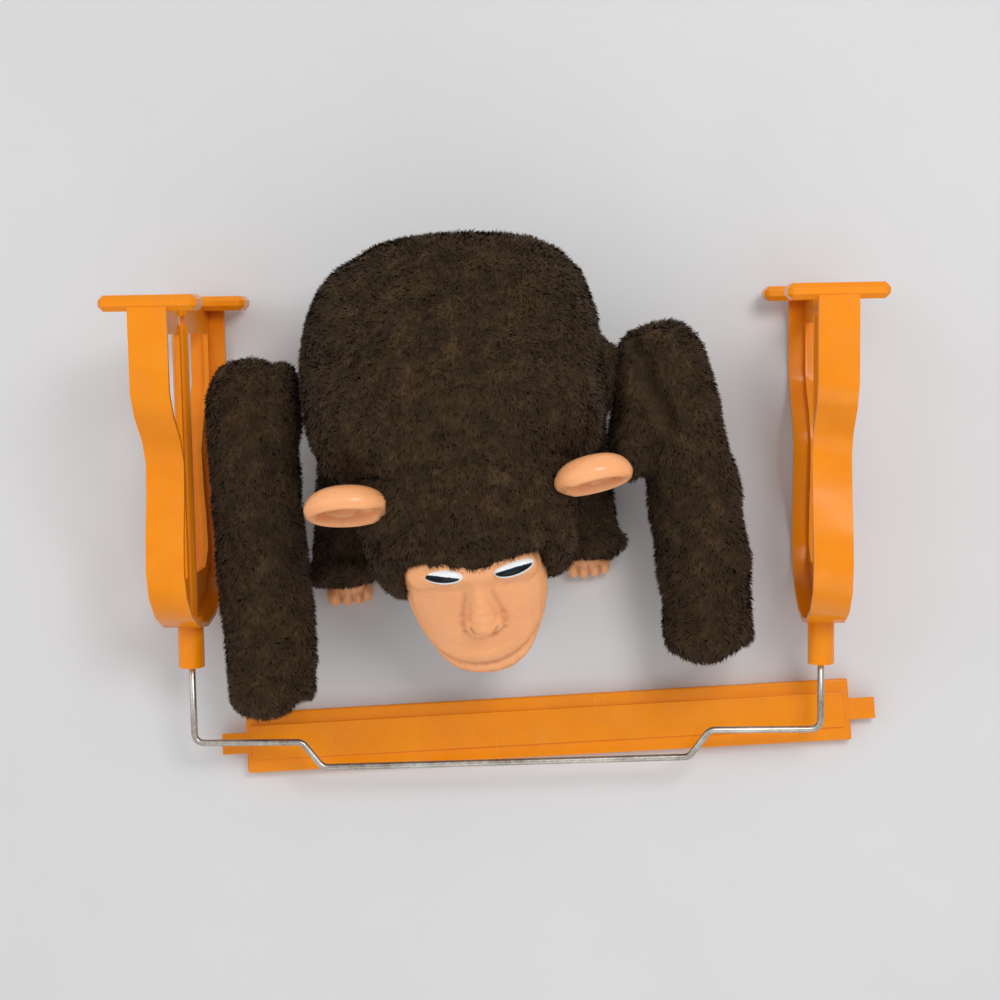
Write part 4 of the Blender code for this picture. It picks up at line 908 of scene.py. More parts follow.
@dataclass
class Pile:
    """A coat of short pile over a plush form."""

    length: float = 0.0042
    width: float = 0.0009
    spacing: float = 0.00115
    lean: float = 1.1
    swirl: float = 0.75
    stray: float = 0.35
    sunk: float = 0.0006
    root_mark: float = 0.34
    seed: int = 1
    comb: Vector = field(default_factory=lambda: Vector((0.0, -1.0, -0.25)))

    def roots(self, mesh: bpy.types.Mesh, keep: np.ndarray) -> tuple[np.ndarray, np.ndarray]:
        """Scatters points over the faces that carry pile.

        Args:
            mesh: The plush form's mesh.
            keep: Which of its triangles carry pile.

        Returns:
            The points and the form's normals there.
        """
        mesh.calc_loop_triangles()
        corners = np.empty(len(mesh.loop_triangles) * 3, np.int32)
        mesh.loop_triangles.foreach_get("vertices", corners)
        corners = corners.reshape(-1, 3)[keep]
        points, outward = places(mesh), normals(mesh)
        first, second, third = (points[corners[:, index]] for index in range(3))
        areas = np.linalg.norm(np.cross(second - first, third - first), axis=1) / 2
        count = int(areas.sum() / self.spacing**2)
        draw = np.random.default_rng(self.seed)
        chosen = draw.choice(len(corners), size=count, p=areas / areas.sum())
        along, across = draw.random(count), draw.random(count)
        over = along + across > 1
        along[over], across[over] = 1 - along[over], 1 - across[over]
        shares = np.stack([1 - along - across, along, across], axis=1)
        roots = np.einsum("ij,ijk->ik", shares, points[corners[chosen]])
        facing = np.einsum("ij,ijk->ik", shares, outward[corners[chosen]])
        facing /= np.linalg.norm(facing, axis=1)[:, None]
        return roots, facing

    def blades(self, roots: np.ndarray, facing: np.ndarray) -> tuple[np.ndarray, np.ndarray]:
        """Shapes one flat blade on each root.

        Args:
            roots: Where the blades stand.
            facing: The form's normals there.

        Returns:
            The corners, three to a blade, and the height mark of each.
        """
        draw = np.random.default_rng(self.seed + 50)
        count = len(roots)
        comb = np.tile(np.array(self.comb, float), (count, 1))
        swirl = np.stack([waves(roots, 0.016, self.seed + 90 + axis, 2) for axis in range(3)], axis=1)
        comb += self.swirl * swirl + draw.normal(scale=self.stray, size=(count, 3))
        comb -= facing * np.einsum("ij,ij->i", comb, facing)[:, None]
        comb /= np.maximum(np.linalg.norm(comb, axis=1), 1e-6)[:, None]
        lean = self.lean * draw.uniform(0.55, 1.25, count)[:, None]
        way = facing + comb * lean
        way /= np.linalg.norm(way, axis=1)[:, None]
        length = self.length * draw.uniform(0.65, 1.15, count)[:, None]
        side = np.cross(way, facing + draw.normal(scale=0.6, size=(count, 3)))
        side /= np.maximum(np.linalg.norm(side, axis=1), 1e-6)[:, None]
        half = self.width / 2 * draw.uniform(0.7, 1.3, count)[:, None]
        sunk = roots - facing * self.sunk
        corners = np.stack([sunk - side * half, sunk + side * half, sunk + way * length], axis=1)
        corners[:, :, 2] = np.maximum(corners[:, :, 2], GROUND)
        marks = np.tile(np.array([self.root_mark, self.root_mark, 1.0]), count)
        marks[2::3] = draw.uniform(0.55, 1.0, count)
        return corners.reshape(-1, 3), marks

    def grow(self, form: bpy.types.Object, keep: np.ndarray) -> None:
        """Adds the blades to a form's mesh, lit as the form under them is.

        Args:
            form: The plush form, whose mesh is replaced.
            keep: Which of its triangles carry pile.
        """
        mesh = form.data
        roots, facing = self.roots(mesh, keep)
        corners, marks = self.blades(roots, facing)
        base, base_facing = places(mesh), normals(mesh)
        base_mark = np.empty(len(base))
        mesh.attributes["pile"].data.foreach_get("value", base_mark)
        mesh.calc_loop_triangles()
        triangles = np.empty(len(mesh.loop_triangles) * 3, np.int32)
        mesh.loop_triangles.foreach_get("vertices", triangles)
        blades = np.arange(len(corners), dtype=np.int32).reshape(-1, 3) + len(base)
        faces = np.concatenate([triangles.reshape(-1, 3), blades])
        grown = bpy.data.meshes.new(form.name)
        points = np.concatenate([base, corners])
        grown.vertices.add(len(points))
        grown.vertices.foreach_set("co", points.astype(np.float32).ravel())
        grown.loops.add(faces.size)
        grown.loops.foreach_set("vertex_index", faces.astype(np.int32).ravel())
        grown.polygons.add(len(faces))
        grown.polygons.foreach_set("loop_start", np.arange(0, faces.size, 3, dtype=np.int32))
        grown.update(calc_edges=True)
        shaded_smooth(grown)
        set_mark(grown, "pile", np.concatenate([base_mark, marks]))
        lit = np.concatenate([base_facing, np.repeat(facing, 3, axis=0)])
        grown.normals_split_custom_set_from_vertices(lit.astype(np.float32))
        form.data = grown
        bpy.data.meshes.remove(mesh)


@dataclass(frozen=True)
class Seam:
    """A sewn line that pulls the plush in, along points in world places."""

    points: tuple[Triple, ...]
    reach: float = 0.004
    depth: float = 0.003


@dataclass(frozen=True)
class Lump:
    """Extra stuffing, fur or vinyl: an ellipsoid that melts into a form."""

    place: Triple
    half: Triple
    axes: Matrix = field(default_factory=lambda: Matrix.Identity(4))

    def add(self, mesh: bpy.types.Mesh) -> None:
        """Adds the ellipsoid to a mesh.

        Args:
            mesh: The mesh, in world places.
        """
        shape = bmesh.new()
        shape.from_mesh(mesh)
        spot = self.axes @ Matrix.Translation(self.place) @ Matrix.Diagonal((*self.half, 1.0))
        bmesh.ops.create_icosphere(shape, subdivisions=4, radius=1.0, matrix=spot)
        shape.to_mesh(mesh)
        shape.free()


@dataclass
class Plush:
    """One plush form: a CAD solid rounded out, seamed and covered in pile."""

    node: str
    body: str
    voxel: float = 0.003
    relax: int = 6
    lumps: float = 0.0016
    lump_size: float = 0.05
    tufts: float = 0.0007
    tuft_size: float = 0.009
    fill: float = 0.9
    pile: Pile = field(default_factory=Pile)
    seams: tuple[Seam, ...] = ()
    extra: tuple[Lump, ...] = ()
    ears: tuple[Matrix, ...] = ()

    def build(self) -> bpy.types.Object:
        """Builds the form and covers it.

        Returns:
            The finished piece.
        """
        piece = node_copy(self.node, self.node + "_fur")
        for lump in self.extra:
            lump.add(piece.data)
        remeshed(piece, self.voxel, self.relax)
        solid = BVHTree.FromObject(piece, bpy.context.evaluated_depsgraph_get())
        self.seam(piece)
        points, outward = places(piece.data), normals(piece.data)
        seed = self.pile.seed
        lift = self.lumps * waves(points, self.lump_size, seed, 2)
        lift = lift + self.tufts * waves(points, self.tuft_size, seed + 7, 3)
        points += outward * lift[:, None]
        points[:, 2] = np.maximum(points[:, 2], GROUND)
        points = self.pressed(points)
        set_places(piece.data, points)
        mark = 0.46 + 0.20 * waves(points, 0.008, seed + 3, 3)
        set_mark(piece.data, "pile", np.clip(mark, 0.22, 0.8))
        shaded_smooth(piece.data)
        self.pile.grow(piece, self.outside(piece.data, solid))
        FUR.cover(piece)
        ridden(piece, self.body, "fur", self.node)
        return piece

    def seam(self, piece: bpy.types.Object) -> None:
        """Pulls the form in along its seams.

        Args:
            piece: The form.
        """
        for seam in self.seams:
            for start, end in zip(seam.points, seam.points[1:]):
                brush = Brush(start, end, seam.reach, -seam.depth)
                sculpted(piece.data, Matrix.Identity(4), [brush])

    def outside(self, mesh: bpy.types.Mesh, solid: BVHTree) -> np.ndarray:
        """Finds the triangles that face open air.

        Args:
            mesh: The form's mesh.
            solid: The form itself, for rays.

        Returns:
            A flag for each triangle.
        """
        mesh.calc_loop_triangles()
        flags = np.zeros(len(mesh.loop_triangles), dtype=bool)
        for index, triangle in enumerate(mesh.loop_triangles):
            middle = sum((mesh.vertices[corner].co for corner in triangle.vertices), Vector()) / 3
            start = middle + triangle.normal * RAY_START
            free = solid.ray_cast(start, triangle.normal, RAY_FREE)[0] is None
            flags[index] = free and not self.in_ear(middle)
        return flags

    def in_ear(self, point: Vector) -> bool:
        """Whether a point is in front of an ear's dish, where no pile grows.

        Args:
            point: The point, in world places.

        Returns:
            True in front of a dish.
        """
        for axes in self.ears:
            own = axes.inverted() @ point
            if own.x**2 + own.y**2 < EAR_CLEAR**2 and EAR_BARE[0] < own.z < EAR_BARE[1]:
                return True
        return False

    def pressed(self, points: np.ndarray) -> np.ndarray:
        """Presses the form back behind the ears' dishes.

        Args:
            points: The form's points.

        Returns:
            The points, with those in front of a dish moved back.
        """
        for axes in self.ears:
            back, there = np.array(axes.inverted()), np.array(axes)
            own = points @ back[:3, :3].T + back[:3, 3]
            inside = np.hypot(own[:, 0], own[:, 1]) < EAR_CLEAR
            inside &= (own[:, 2] > EAR_PRESSED[0]) & (own[:, 2] < EAR_PRESSED[1])
            own[inside, 2] = EAR_PRESSED[0]
            points = np.where(inside[:, None], own @ there[:3, :3].T + there[:3, 3], points)
        return points


# The vinyl face, ears, hands and feet


def axes_at(place: Triple, across: Triple, along: Triple) -> Matrix:
    """Axes at a place, from their first two directions.

    Args:
        place: Their origin, in metres.
        across: Their X.
        along: Roughly their Y.

    Returns:
        The axes as a matrix.
    """
    first = Vector(across).normalized()
    third = first.cross(Vector(along)).normalized()
    second = third.cross(first)
    made = Matrix((first, second, third)).transposed().to_4x4()
    made.translation = Vector(place)
    return made


# The ape lies turned by 5.5 degrees, and its face is tilted up by 47
CROSS = (0.9954, 0.09585, 0.0)
FACE_AXES = axes_at((-0.013945, -0.056893, 0.092), CROSS, (-0.06537, 0.67886, 0.73135))
EAR_AXES = (
    axes_at((-0.088522, -0.00229, 0.147), (0.98902, 0.14781, 0.0), (-0.05297, 0.35443, 0.93358)),
    axes_at((0.053827, 0.013426, 0.147), (0.95372, 0.30071, 0.0), (-0.10776, 0.34178, 0.93358)),
)
WHERE_STROKES_MEET = 0.72


def strokes(points: list[Triple], reach: float, lift: float, shade: float = 0.0) -> list[Brush]:
    """Joins brushes end to end, each weaker because two of them act where they meet.

    Args:
        points: The line, from end to end.
        reach: How far they act beside it, in metres.
        lift: How far they lift, in metres.
        shade: How dark they make it.

    Returns:
        The brushes.
    """
    lift *= WHERE_STROKES_MEET
    return [Brush(start, end, reach, lift, shade) for start, end in zip(points, points[1:])]


@dataclass
class Face:
    """The moulded face: brows, lids, nose, muzzle, mouth line and lower lip."""

    voxel: float = 0.0011
    shift: float = 0.0022
    jaw: float = 0.05
    eye_across: Pair = (-0.0192, 0.0225)
    eye_up: Pair = (0.0436, 0.0442)
    eye_out: float = 0.0180
    eye_tilt: Pair = (radians(-3), radians(8.5))
    eye_wrap: float = radians(10)
    eye_half: Triple = (0.0122, 0.0054, 0.0056)
    lid_steps: int = 16
    nose: tuple[Triple, ...] = (
        (0.0275, 0.0056, 0.0060),
        (0.0215, 0.0066, 0.0068),
        (0.0150, 0.0078, 0.0078),
        (0.0090, 0.0088, 0.0088),
        (0.0030, 0.0098, 0.0096),
    )
    mouth: tuple[Triple, ...] = (
        (-0.0355, -0.021, 0.0055),
        (-0.0300, -0.0292, 0.0105),
        (-0.0196, -0.0338, 0.0148),
        (-0.0114, -0.0356, 0.0168),
        (-0.0044, -0.0360, 0.0176),
        (0.0035, -0.0356, 0.0178),
        (0.0123, -0.0330, 0.0172),
        (0.0205, -0.0288, 0.0155),
        (0.0275, -0.0231, 0.0132),
        (0.0325, -0.0155, 0.0105),
    )

    def brushes(self) -> list[Brush]:
        """Every stroke of the face, in its own axes; their shade values are painted shade.

        Returns:
            The strokes.
        """
        line = list(self.mouth)
        above = [(x * 0.93, y + 0.0085, z + 0.001) for x, y, z in line]
        below = [(x * 0.97, y - 0.0055, z - 0.003) for x, y, z in line[1:-1]]
        # The last value of each stroke paints shade: along the mouth line and above it, beside and under
        # the nose, in the nostrils, between the eyes and under the brow fur.
        made = strokes(line, 0.0020, -0.0021, 0.5)
        made += strokes(above, 0.0065, 0.0010)
        made += strokes([(x * 0.97, y + 0.0030, z + 0.0006) for x, y, z in line], 0.0036, 0.0, 0.26)
        made += strokes(below, 0.0034, 0.0011)
        made += [
            Brush((0.0, 0.036, 0.019), (0.0, 0.027, 0.020), 0.0075, 0.0006, 0.0),
            Brush((-0.0130, 0.001, 0.0192), (-0.0122, 0.009, 0.0195), 0.0020, -0.0012, 0.45),
            Brush((0.0130, 0.001, 0.0188), (0.0122, 0.009, 0.0192), 0.0020, -0.0012, 0.40),
            Brush((-0.0122, 0.009, 0.0198), (-0.0080, 0.029, 0.0210), 0.0019, -0.0010, 0.44),
            Brush((0.0122, 0.009, 0.0194), (0.0080, 0.029, 0.0208), 0.0019, -0.0010, 0.32),
            Brush((-0.0118, -0.0035, 0.0195), (-0.0040, -0.0095, 0.0195), 0.0018, -0.0015, 0.62),
            Brush((0.0118, -0.0035, 0.0195), (0.0040, -0.0095, 0.0195), 0.0018, -0.0015, 0.62),
            Brush((-0.0040, -0.0095, 0.0195), (0.0040, -0.0095, 0.0195), 0.0018, -0.0015, 0.62),
            Brush((-0.0080, 0.0030, 0.0246), (-0.0066, -0.0008, 0.0250), 0.0013, -0.0013, 0.7),
            Brush((0.0076, 0.0022, 0.0246), (0.0062, -0.0012, 0.0250), 0.0013, -0.0013, 0.7),
            Brush((-0.007, 0.0365, 0.0215), (0.009, 0.0365, 0.0215), 0.0055, -0.0004, 0.26),
            Brush((-0.024, 0.010, 0.012), (-0.020, -0.006, 0.013), 0.0100, 0.0012),
            Brush((0.024, 0.010, 0.012), (0.020, -0.006, 0.013), 0.0100, 0.0012),
            Brush((-0.003, 0.031, 0.0195), (0.003, 0.031, 0.0195), 0.0022, -0.0006, 0.18),
            Brush((-0.010, 0.0480, 0.018), (-0.034, 0.0495, 0.011), 0.0032, 0.0012, 0.25),
            Brush((0.012, 0.0490, 0.018), (0.036, 0.0500, 0.011), 0.0032, 0.0012, 0.25),
        ]
        return made + self.lids()

    def eye_axes(self, side: int) -> Matrix:
        """One eyeball's axes in the face's own, tilted and wrapped round the face.

        Args:
            side: -1 for the left eye, 1 for the right one.

        Returns:
            The axes.
        """
        place = (self.eye_across[side > 0], self.eye_up[side > 0], self.eye_out)
        tilt = Matrix.Rotation(self.eye_tilt[side > 0], 4, "Z")
        return Matrix.Translation(place) @ tilt @ Matrix.Rotation(side * self.eye_wrap, 4, "Y")

    def lids(self) -> list[Brush]:
        """The raised rims round both eyes and the hollows under them, all with painted shade, darkest on
        the rims' upper side.

        Returns:
            Their strokes.
        """
        made: list[Brush] = []
        wide, high = self.eye_half[0] + 0.0007, self.eye_half[1] + 0.0008
        for side in (-1, 1):
            axes = self.eye_axes(side)
            for step in range(self.lid_steps):
                angle = 2 * pi * step / self.lid_steps
                spot = tuple(axes @ Vector((cos(angle) * wide, sin(angle) * high, 0.0018)))
                # Painted shade on each rim, darker on its upper side under the brow.
                lift, shade = (0.0009, 0.10) if sin(angle) < 0.2 else (0.0003, 0.3)
                made.append(Brush(spot, spot, 0.0017, lift, shade))
            under = [axes @ Vector((across, -0.0105, 0.0015)) for across in (-0.009, 0.009)]
            made.append(Brush(tuple(under[0]), tuple(under[1]), 0.0030, -0.0005, 0.16))
        return made

    def slimmed(self, mesh: bpy.types.Mesh) -> None:
        """Draws the jaw in and sets the mask a little to its left, as the toy wears it.

        Args:
            mesh: The mask's mesh, in world places.
        """
        back, there = np.array(FACE_AXES.inverted()), np.array(FACE_AXES)
        own = places(mesh) @ back[:3, :3].T + back[:3, 3]
        jaw = np.clip(-own[:, 1] / 0.03, 0.0, 1.0)
        own[:, 0] = own[:, 0] * (1.0 - self.jaw * jaw) - self.shift
        set_places(mesh, own @ there[:3, :3].T + there[:3, 3])

    def forms(self) -> list[Lump]:
        """The solid forms that the strokes are cut into: eye beds, bridge, nose ball and wings.

        The nose field gives the bridge's and the ball's height up the face, half width and half depth.

        Returns:
            The forms.
        """
        made = []
        for up, half, deep in self.nose:
            made.append(Lump((0.0, up + 0.0008, 0.0191), (half, 0.0092, deep), FACE_AXES))
        for side in (-1, 1):
            wing = (side * 0.0072, 0.0025, 0.0176)
            bed = (side * 0.0205 - self.shift, 0.0405, 0.0136)
            made.append(Lump(wing, (0.0052, 0.0078, 0.0074), FACE_AXES))
            made.append(Lump(bed, (0.0185, 0.0145, 0.0068), FACE_AXES))
        return made

    def build(self) -> bpy.types.Object:
        """Builds the face over its CAD node.

        Returns:
            The finished face.
        """
        piece = node_copy("face_mask", "moulded_face")
        self.slimmed(piece.data)
        for form in self.forms():
            form.add(piece.data)
        remeshed(piece, self.voxel, 5)
        shade = sculpted(piece.data, FACE_AXES, self.brushes())
        relax = piece.modifiers.new("relax", "SMOOTH")
        relax.factor, relax.iterations = 0.4, 2
        settled(piece)
        shaded_smooth(piece.data)
        set_mark(piece.data, "shade", shade)
        VINYL.cover(piece)
        return ridden(piece, "torso", "vinyl", "face_mask")


@dataclass
class Eye:
    """A glossy eye, looking down: white above, dark below."""

    side: int
    face: Face
    level: Pair = (-0.16, -0.10)
    slope: Pair = (0.12, 0.10)

    def build(self) -> bpy.types.Object:
        """Builds one eye.

        Returns:
            The finished eye.
        """
        name = "left" if self.side < 0 else "right"
        shape = bmesh.new()
        bmesh.ops.create_uvsphere(shape, u_segments=48, v_segments=32, radius=1.0)
        mesh = bpy.data.meshes.new(f"eyeball_{name}")
        shape.to_mesh(mesh)
        shape.free()
        own = places(mesh)
        marks = self.marks(own)
        size = Matrix.Diagonal((*self.face.eye_half, 1.0))
        mesh.transform(FACE_AXES @ self.face.eye_axes(self.side) @ size)
        set_mark(mesh, "iris", marks)
        shaded_smooth(mesh)
        piece = linked(f"eyeball_{name}", mesh)
        EYE.cover(piece)
        return ridden(piece, "torso", "eye", f"eye_{name}")

    def marks(self, own: np.ndarray) -> np.ndarray:
        """Where the dark part lies: below a straight cut that leans back.

        Args:
            own: Places on a ball of radius 1.

        Returns:
            How dark each place is, from 0 to 1.
        """
        cut = 0.66 * own[:, 1] - 0.75 * own[:, 2]
        line = cut + self.slope[self.side > 0] * own[:, 0] - self.level[self.side > 0]
        rim = 0.86 * np.sqrt(np.clip(1.0 - (own[:, 0] / 0.96) ** 2, 0.0, 1.0))
        edge = np.clip(np.minimum(-line, cut + rim) / 0.05, 0.0, 1.0)
        return edge * np.clip(0.5 - line / 0.7, 0.5, 1.0)


@dataclass
class Ear:
    """A thick round ear: a rolled rim round a dish, with a curled fold in it."""

    side: int
    radius: Pair = (0.0250, 0.0230)
    squash: Pair = (0.89, 0.94)
    tip: Pair = (radians(9), radians(14))
    turn: float = radians(-4.7)
    drift: tuple[Triple, ...] = ((-0.0009, 0.0016, 0.0), (-0.0011, 0.0024, 0.0))
    around: int = 112
    profile: tuple[Pair, ...] = (
        (0.0, -0.0086),
        (0.36, -0.0084),
        (0.62, -0.0072),
        (0.82, -0.0046),
        (0.94, -0.0012),
        (1.0, 0.0028),
        (0.975, 0.0060),
        (0.910, 0.0082),
        (0.830, 0.0088),
        (0.750, 0.0078),
        (0.690, 0.0054),
        (0.645, 0.0028),
        (0.50, 0.0008),
        (0.25, 0.0004),
        (0.0, 0.0004),
    )

    def axes(self) -> Matrix:
        """The ear's own axes, as on the CAD but tipped a little further.

        Returns:
            The axes.
        """
        base = EAR_AXES[self.side > 0]
        place = Matrix.Translation(base.translation + Vector(self.drift[self.side > 0]))
        turned = Matrix.Rotation(self.turn, 4, "Z") @ base.to_3x3().to_4x4()
        return place @ turned @ Matrix.Rotation(self.tip[self.side > 0], 4, "X")

    def section(self, steps: int = 5) -> np.ndarray:
        """The rim's and dish's section as a smooth line.

        Args:
            steps: The points between two marks of the profile.

        Returns:
            Its points, each a share of the radius and a height.
        """
        marks = np.array(self.profile)
        made = []
        for index in range(len(marks) - 1):
            before, first = marks[max(index - 1, 0)], marks[index]
            second, after = marks[index + 1], marks[min(index + 2, len(marks) - 1)]
            for step in range(steps):
                t = step / steps
                made.append(
                    0.5
                    * (
                        2 * first
                        + (second - before) * t
                        + (2 * before - 5 * first + 4 * second - after) * t**2
                        + (3 * first - before - 3 * second + after) * t**3
                    )
                )
        made.append(marks[-1])
        section = np.array(made)
        section[:, 0] = np.clip(section[:, 0], 0.0, None)
        return section

    def build(self) -> bpy.types.Object:
        """Turns the section round the ear's middle and adds the folds.

        Returns:
            The finished ear.
        """
        name = "left" if self.side < 0 else "right"
        section = self.section()
        radius, squash = self.radius[self.side > 0], self.squash[self.side > 0]
        shape = bmesh.new()
        poles = [shape.verts.new((0, 0, section[0][1])), shape.verts.new((0, 0, section[-1][1]))]
        rings = []
        for share, height in section[1:-1]:
            ring = []
            for step in range(self.around):
                angle = 2 * pi * step / self.around
                reach = share * radius
                ring.append(shape.verts.new((cos(angle) * reach, sin(angle) * reach * squash, height)))
            rings.append(ring)
        for step in range(self.around):
            after = (step + 1) % self.around
            shape.faces.new((poles[0], rings[0][after], rings[0][step]))
            shape.faces.new((poles[1], rings[-1][step], rings[-1][after]))
            for low, high in zip(rings, rings[1:]):
                shape.faces.new((low[step], low[after], high[after], high[step]))
        mesh = bpy.data.meshes.new(f"moulded_ear_{name}")
        shape.to_mesh(mesh)
        shape.free()
        shade = self.folded(mesh)
        mesh.transform(self.axes())
        shaded_smooth(mesh)
        set_mark(mesh, "shade", shade)
        piece = linked(mesh.name, mesh)
        VINYL.cover(piece)
        return ridden(piece, "torso", "vinyl", f"ear_{name}")

    def folded(self, mesh: bpy.types.Mesh) -> np.ndarray:
        """Raises the curled fold in the dish and opens the rim by the head.

        Args:
            mesh: The ear's mesh, in its own axes.

        Returns:
            How much painted shade each point takes.
        """
        points = places(mesh)
        radius, squash = self.radius[self.side > 0], self.squash[self.side > 0]
        front = points[:, 2] > 0.0
        turn = np.arctan2(points[:, 1], points[:, 0] * self.side)
        reach = np.hypot(points[:, 0], points[:, 1] / squash) / radius
        curl = 0.42 + 0.03 * np.sin(turn * 2 + 0.6)
        span = np.clip((2.5 - np.abs(turn - 0.2)) / 0.5, 0.0, 1.0)
        ridge = span * np.exp(-(((reach - curl) / 0.075) ** 2)) * front
        hollow = np.exp(-((reach / 0.24) ** 2)) * front
        trough = span * np.exp(-(((reach - curl - 0.18) / 0.055) ** 2)) * front
        open_side = np.clip((np.abs(turn) - 2.3) / 0.5, 0.0, 1.0)
        rim = np.exp(-(((reach - 0.85) / 0.14) ** 2)) * front * open_side
        points[:, 2] += 0.0056 * ridge - 0.0012 * hollow - 0.0006 * trough - 0.0022 * rim
        set_places(mesh, points)
        # Painted shade in the dish's middle, in the trough beyond the fold and over the inner dish.
        return np.clip(0.5 * hollow + 0.42 * trough + 0.10 * (reach < 0.72) * front, 0.0, 1.0)


@dataclass
class Limb:
    """A vinyl hand or foot: its CAD form with rounded digits."""

    node: str
    body: str
    axes: Matrix
    digits: tuple[tuple[Triple, Triple], ...] = ()
    whole: bool = True
    voxel: float = 0.0006
    groove: float = 0.0011

    def build(self) -> bpy.types.Object:
        """Builds it at its CAD node.

        Returns:
            The finished piece.
        """
        piece = node_copy(self.node, "moulded_" + self.node)
        if not self.whole:
            piece.data.clear_geometry()
        for place, half in self.digits:
            Lump(place, half, self.axes).add(piece.data)
        remeshed(piece, self.voxel, 3)
        shaded_smooth(piece.data)
        set_mark(piece.data, "shade", self.grooves(places(piece.data)))
        VINYL.cover(piece)
        return ridden(piece, self.body, "vinyl", self.node)

    def grooves(self, points: np.ndarray) -> np.ndarray:
        """How much painted shade each point takes: the grooves where two digits meet.

        Args:
            points: The piece's points, in world places.

        Returns:
            A value from 0 to 1 for each point.
        """
        back = np.array(self.axes.inverted())
        own = points @ back[:3, :3].T + back[:3, 3]
        shade = np.zeros(len(own))
        digits = sorted(self.digits[1:])
        for (first, first_half), (second, second_half) in zip(digits, digits[1:]):
            share = first_half[0] * (second[0] - first[0]) / (first_half[0] + second_half[0])
            middle = first[0] + share
            front = np.clip((first[1] + first_half[1] * 0.2 - own[:, 1]) / 0.003, 0.0, 1.0)
            across = np.exp(-(((own[:, 0] - middle) / self.groove) ** 2))
            # Painted shade in the groove between two digits.
            shade = np.maximum(shade, 0.7 * front * across)
        return shade


# The wire frame's own parts

FRAME_AXES = axes_at((-0.004782, 0.13425, 0.089042), (1.0, 0.0, 0.0), (0.0, 0.98328, 0.18209))


@dataclass
class WireBar:
    """The bent steel wire that joins the two stands.

    The elbow and the grip are the corners of the step in front, given across and forward.
    """

    radius: float = 0.0021
    bend: float = 0.0070
    half: float = 0.198
    seat: float = 0.211
    skew: float = 0.0038
    elbow: Pair = (0.129, 0.2798)
    grip: Pair = (0.116, 0.2966)
    steps: int = 10
    sides: int = 24

    def corners(self) -> list[Vector]:
        """The wire's corners: out of a socket, across, down a step, and the same again.

        Returns:
            The corners, from the left socket to the right one.
        """
        left, right = [], []
        for side, found in ((-1, left), (1, right)):
            shift = -side * self.skew
            found.append(Vector((side * self.half, -self.seat, 0.0)))
            found.append(Vector((side * self.half, -(self.elbow[1] + shift), 0.0)))
            found.append(Vector((side * self.elbow[0], -(self.elbow[1] + 0.9 * shift), 0.0)))
            found.append(Vector((side * self.grip[0], -(self.grip[1] + 0.8 * shift), 0.0)))
        return left + right[::-1]

    def path(self) -> list[Vector]:
        """The wire's centre line, with its bends rounded.

        Returns:
            Its points, from end to end.
        """
        corners = self.corners()
        made = [corners[0]]
        for before, corner, after in zip(corners, corners[1:], corners[2:]):
            back, on = (before - corner).normalized(), (after - corner).normalized()
            angle = back.angle(on)
            room = 0.45 * min((before - corner).length, (after - corner).length)
            reach = min(self.bend / tan(angle / 2), room)
            start, end = corner + back * reach, corner + on * reach
            for step in range(self.steps + 1):
                share = step / self.steps
                made.append(start.lerp(corner, share).lerp(corner.lerp(end, share), share))
        return made + [corners[-1]]

    def build(self) -> bpy.types.Object:
        """Sweeps a round section along the line.

        Returns:
            The finished wire.
        """
        path = self.path()
        shape = bmesh.new()
        rings = []
        flat = Vector((0.0, 0.0, 1.0))
        for index, spot in enumerate(path):
            before, after = path[max(index - 1, 0)], path[min(index + 1, len(path) - 1)]
            side = (after - before).normalized().cross(flat)
            ring = []
            for step in range(self.sides):
                angle = 2 * pi * step / self.sides
                outer = spot + side * cos(angle) * self.radius
                ring.append(shape.verts.new(outer + flat * sin(angle) * self.radius))
            rings.append(ring)
        for first, second in zip(rings, rings[1:]):
            for step in range(self.sides):
                after = (step + 1) % self.sides
                shape.faces.new((first[step], first[after], second[after], second[step]))
        shape.faces.new(rings[0][::-1])
        shape.faces.new(rings[-1])
        bmesh.ops.recalc_face_normals(shape, faces=shape.faces[:])
        mesh = bpy.data.meshes.new("bent_wire")
        shape.to_mesh(mesh)
        shape.free()
        mesh.transform(FRAME_AXES)
        shaded_smooth(mesh)
        piece = linked("bent_wire", mesh)
        STEEL_WIRE.cover(piece)
        return ridden(piece, "wire_bar", "wire_steel", "wire_bar")


@dataclass
class Mouldings:
    """The solids that are shown as they are, sorted by finish."""

    sorted_by: tuple[tuple[Finish, tuple[str, ...]], ...]

    def build(self) -> int:
        """Dresses each of them in its finish.

        Returns:
            How many there are.
        """
        for finish, nodes in self.sorted_by:
            for node in nodes:
                finish.cover(bpy.data.objects[node])
        return sum(len(nodes) for _, nodes in self.sorted_by)


@dataclass
class FramePiece:
    """An end stand or the beam, each a body of its own, with softened edges."""

    node: str
    soften: float = 0.0007
    merge: float = 0.00002

    def build(self) -> bpy.types.Object:
        """Builds it over its CAD node.

        Returns:
            The finished piece.
        """
        piece = node_copy(self.node, "moulded_" + self.node)
        weld = piece.modifiers.new("weld", "WELD")
        weld.merge_threshold = self.merge
        soft = piece.modifiers.new("soften", "BEVEL")
        soft.width = self.soften
        soft.segments = 3
        soft.limit_method = "ANGLE"
        soft.angle_limit = radians(35)
        soft.use_clamp_overlap = True
        soft.harden_normals = False
        settled(piece)
        shaded_smooth(piece.data)
        keep = piece.modifiers.new("flat_faces", "WEIGHTED_NORMAL")
        keep.keep_sharp = False
        keep.weight = 80
        settled(piece)
        AMBER.cover(piece)
        return ridden(piece, self.node, "frame_plastic", self.node)


# The studio


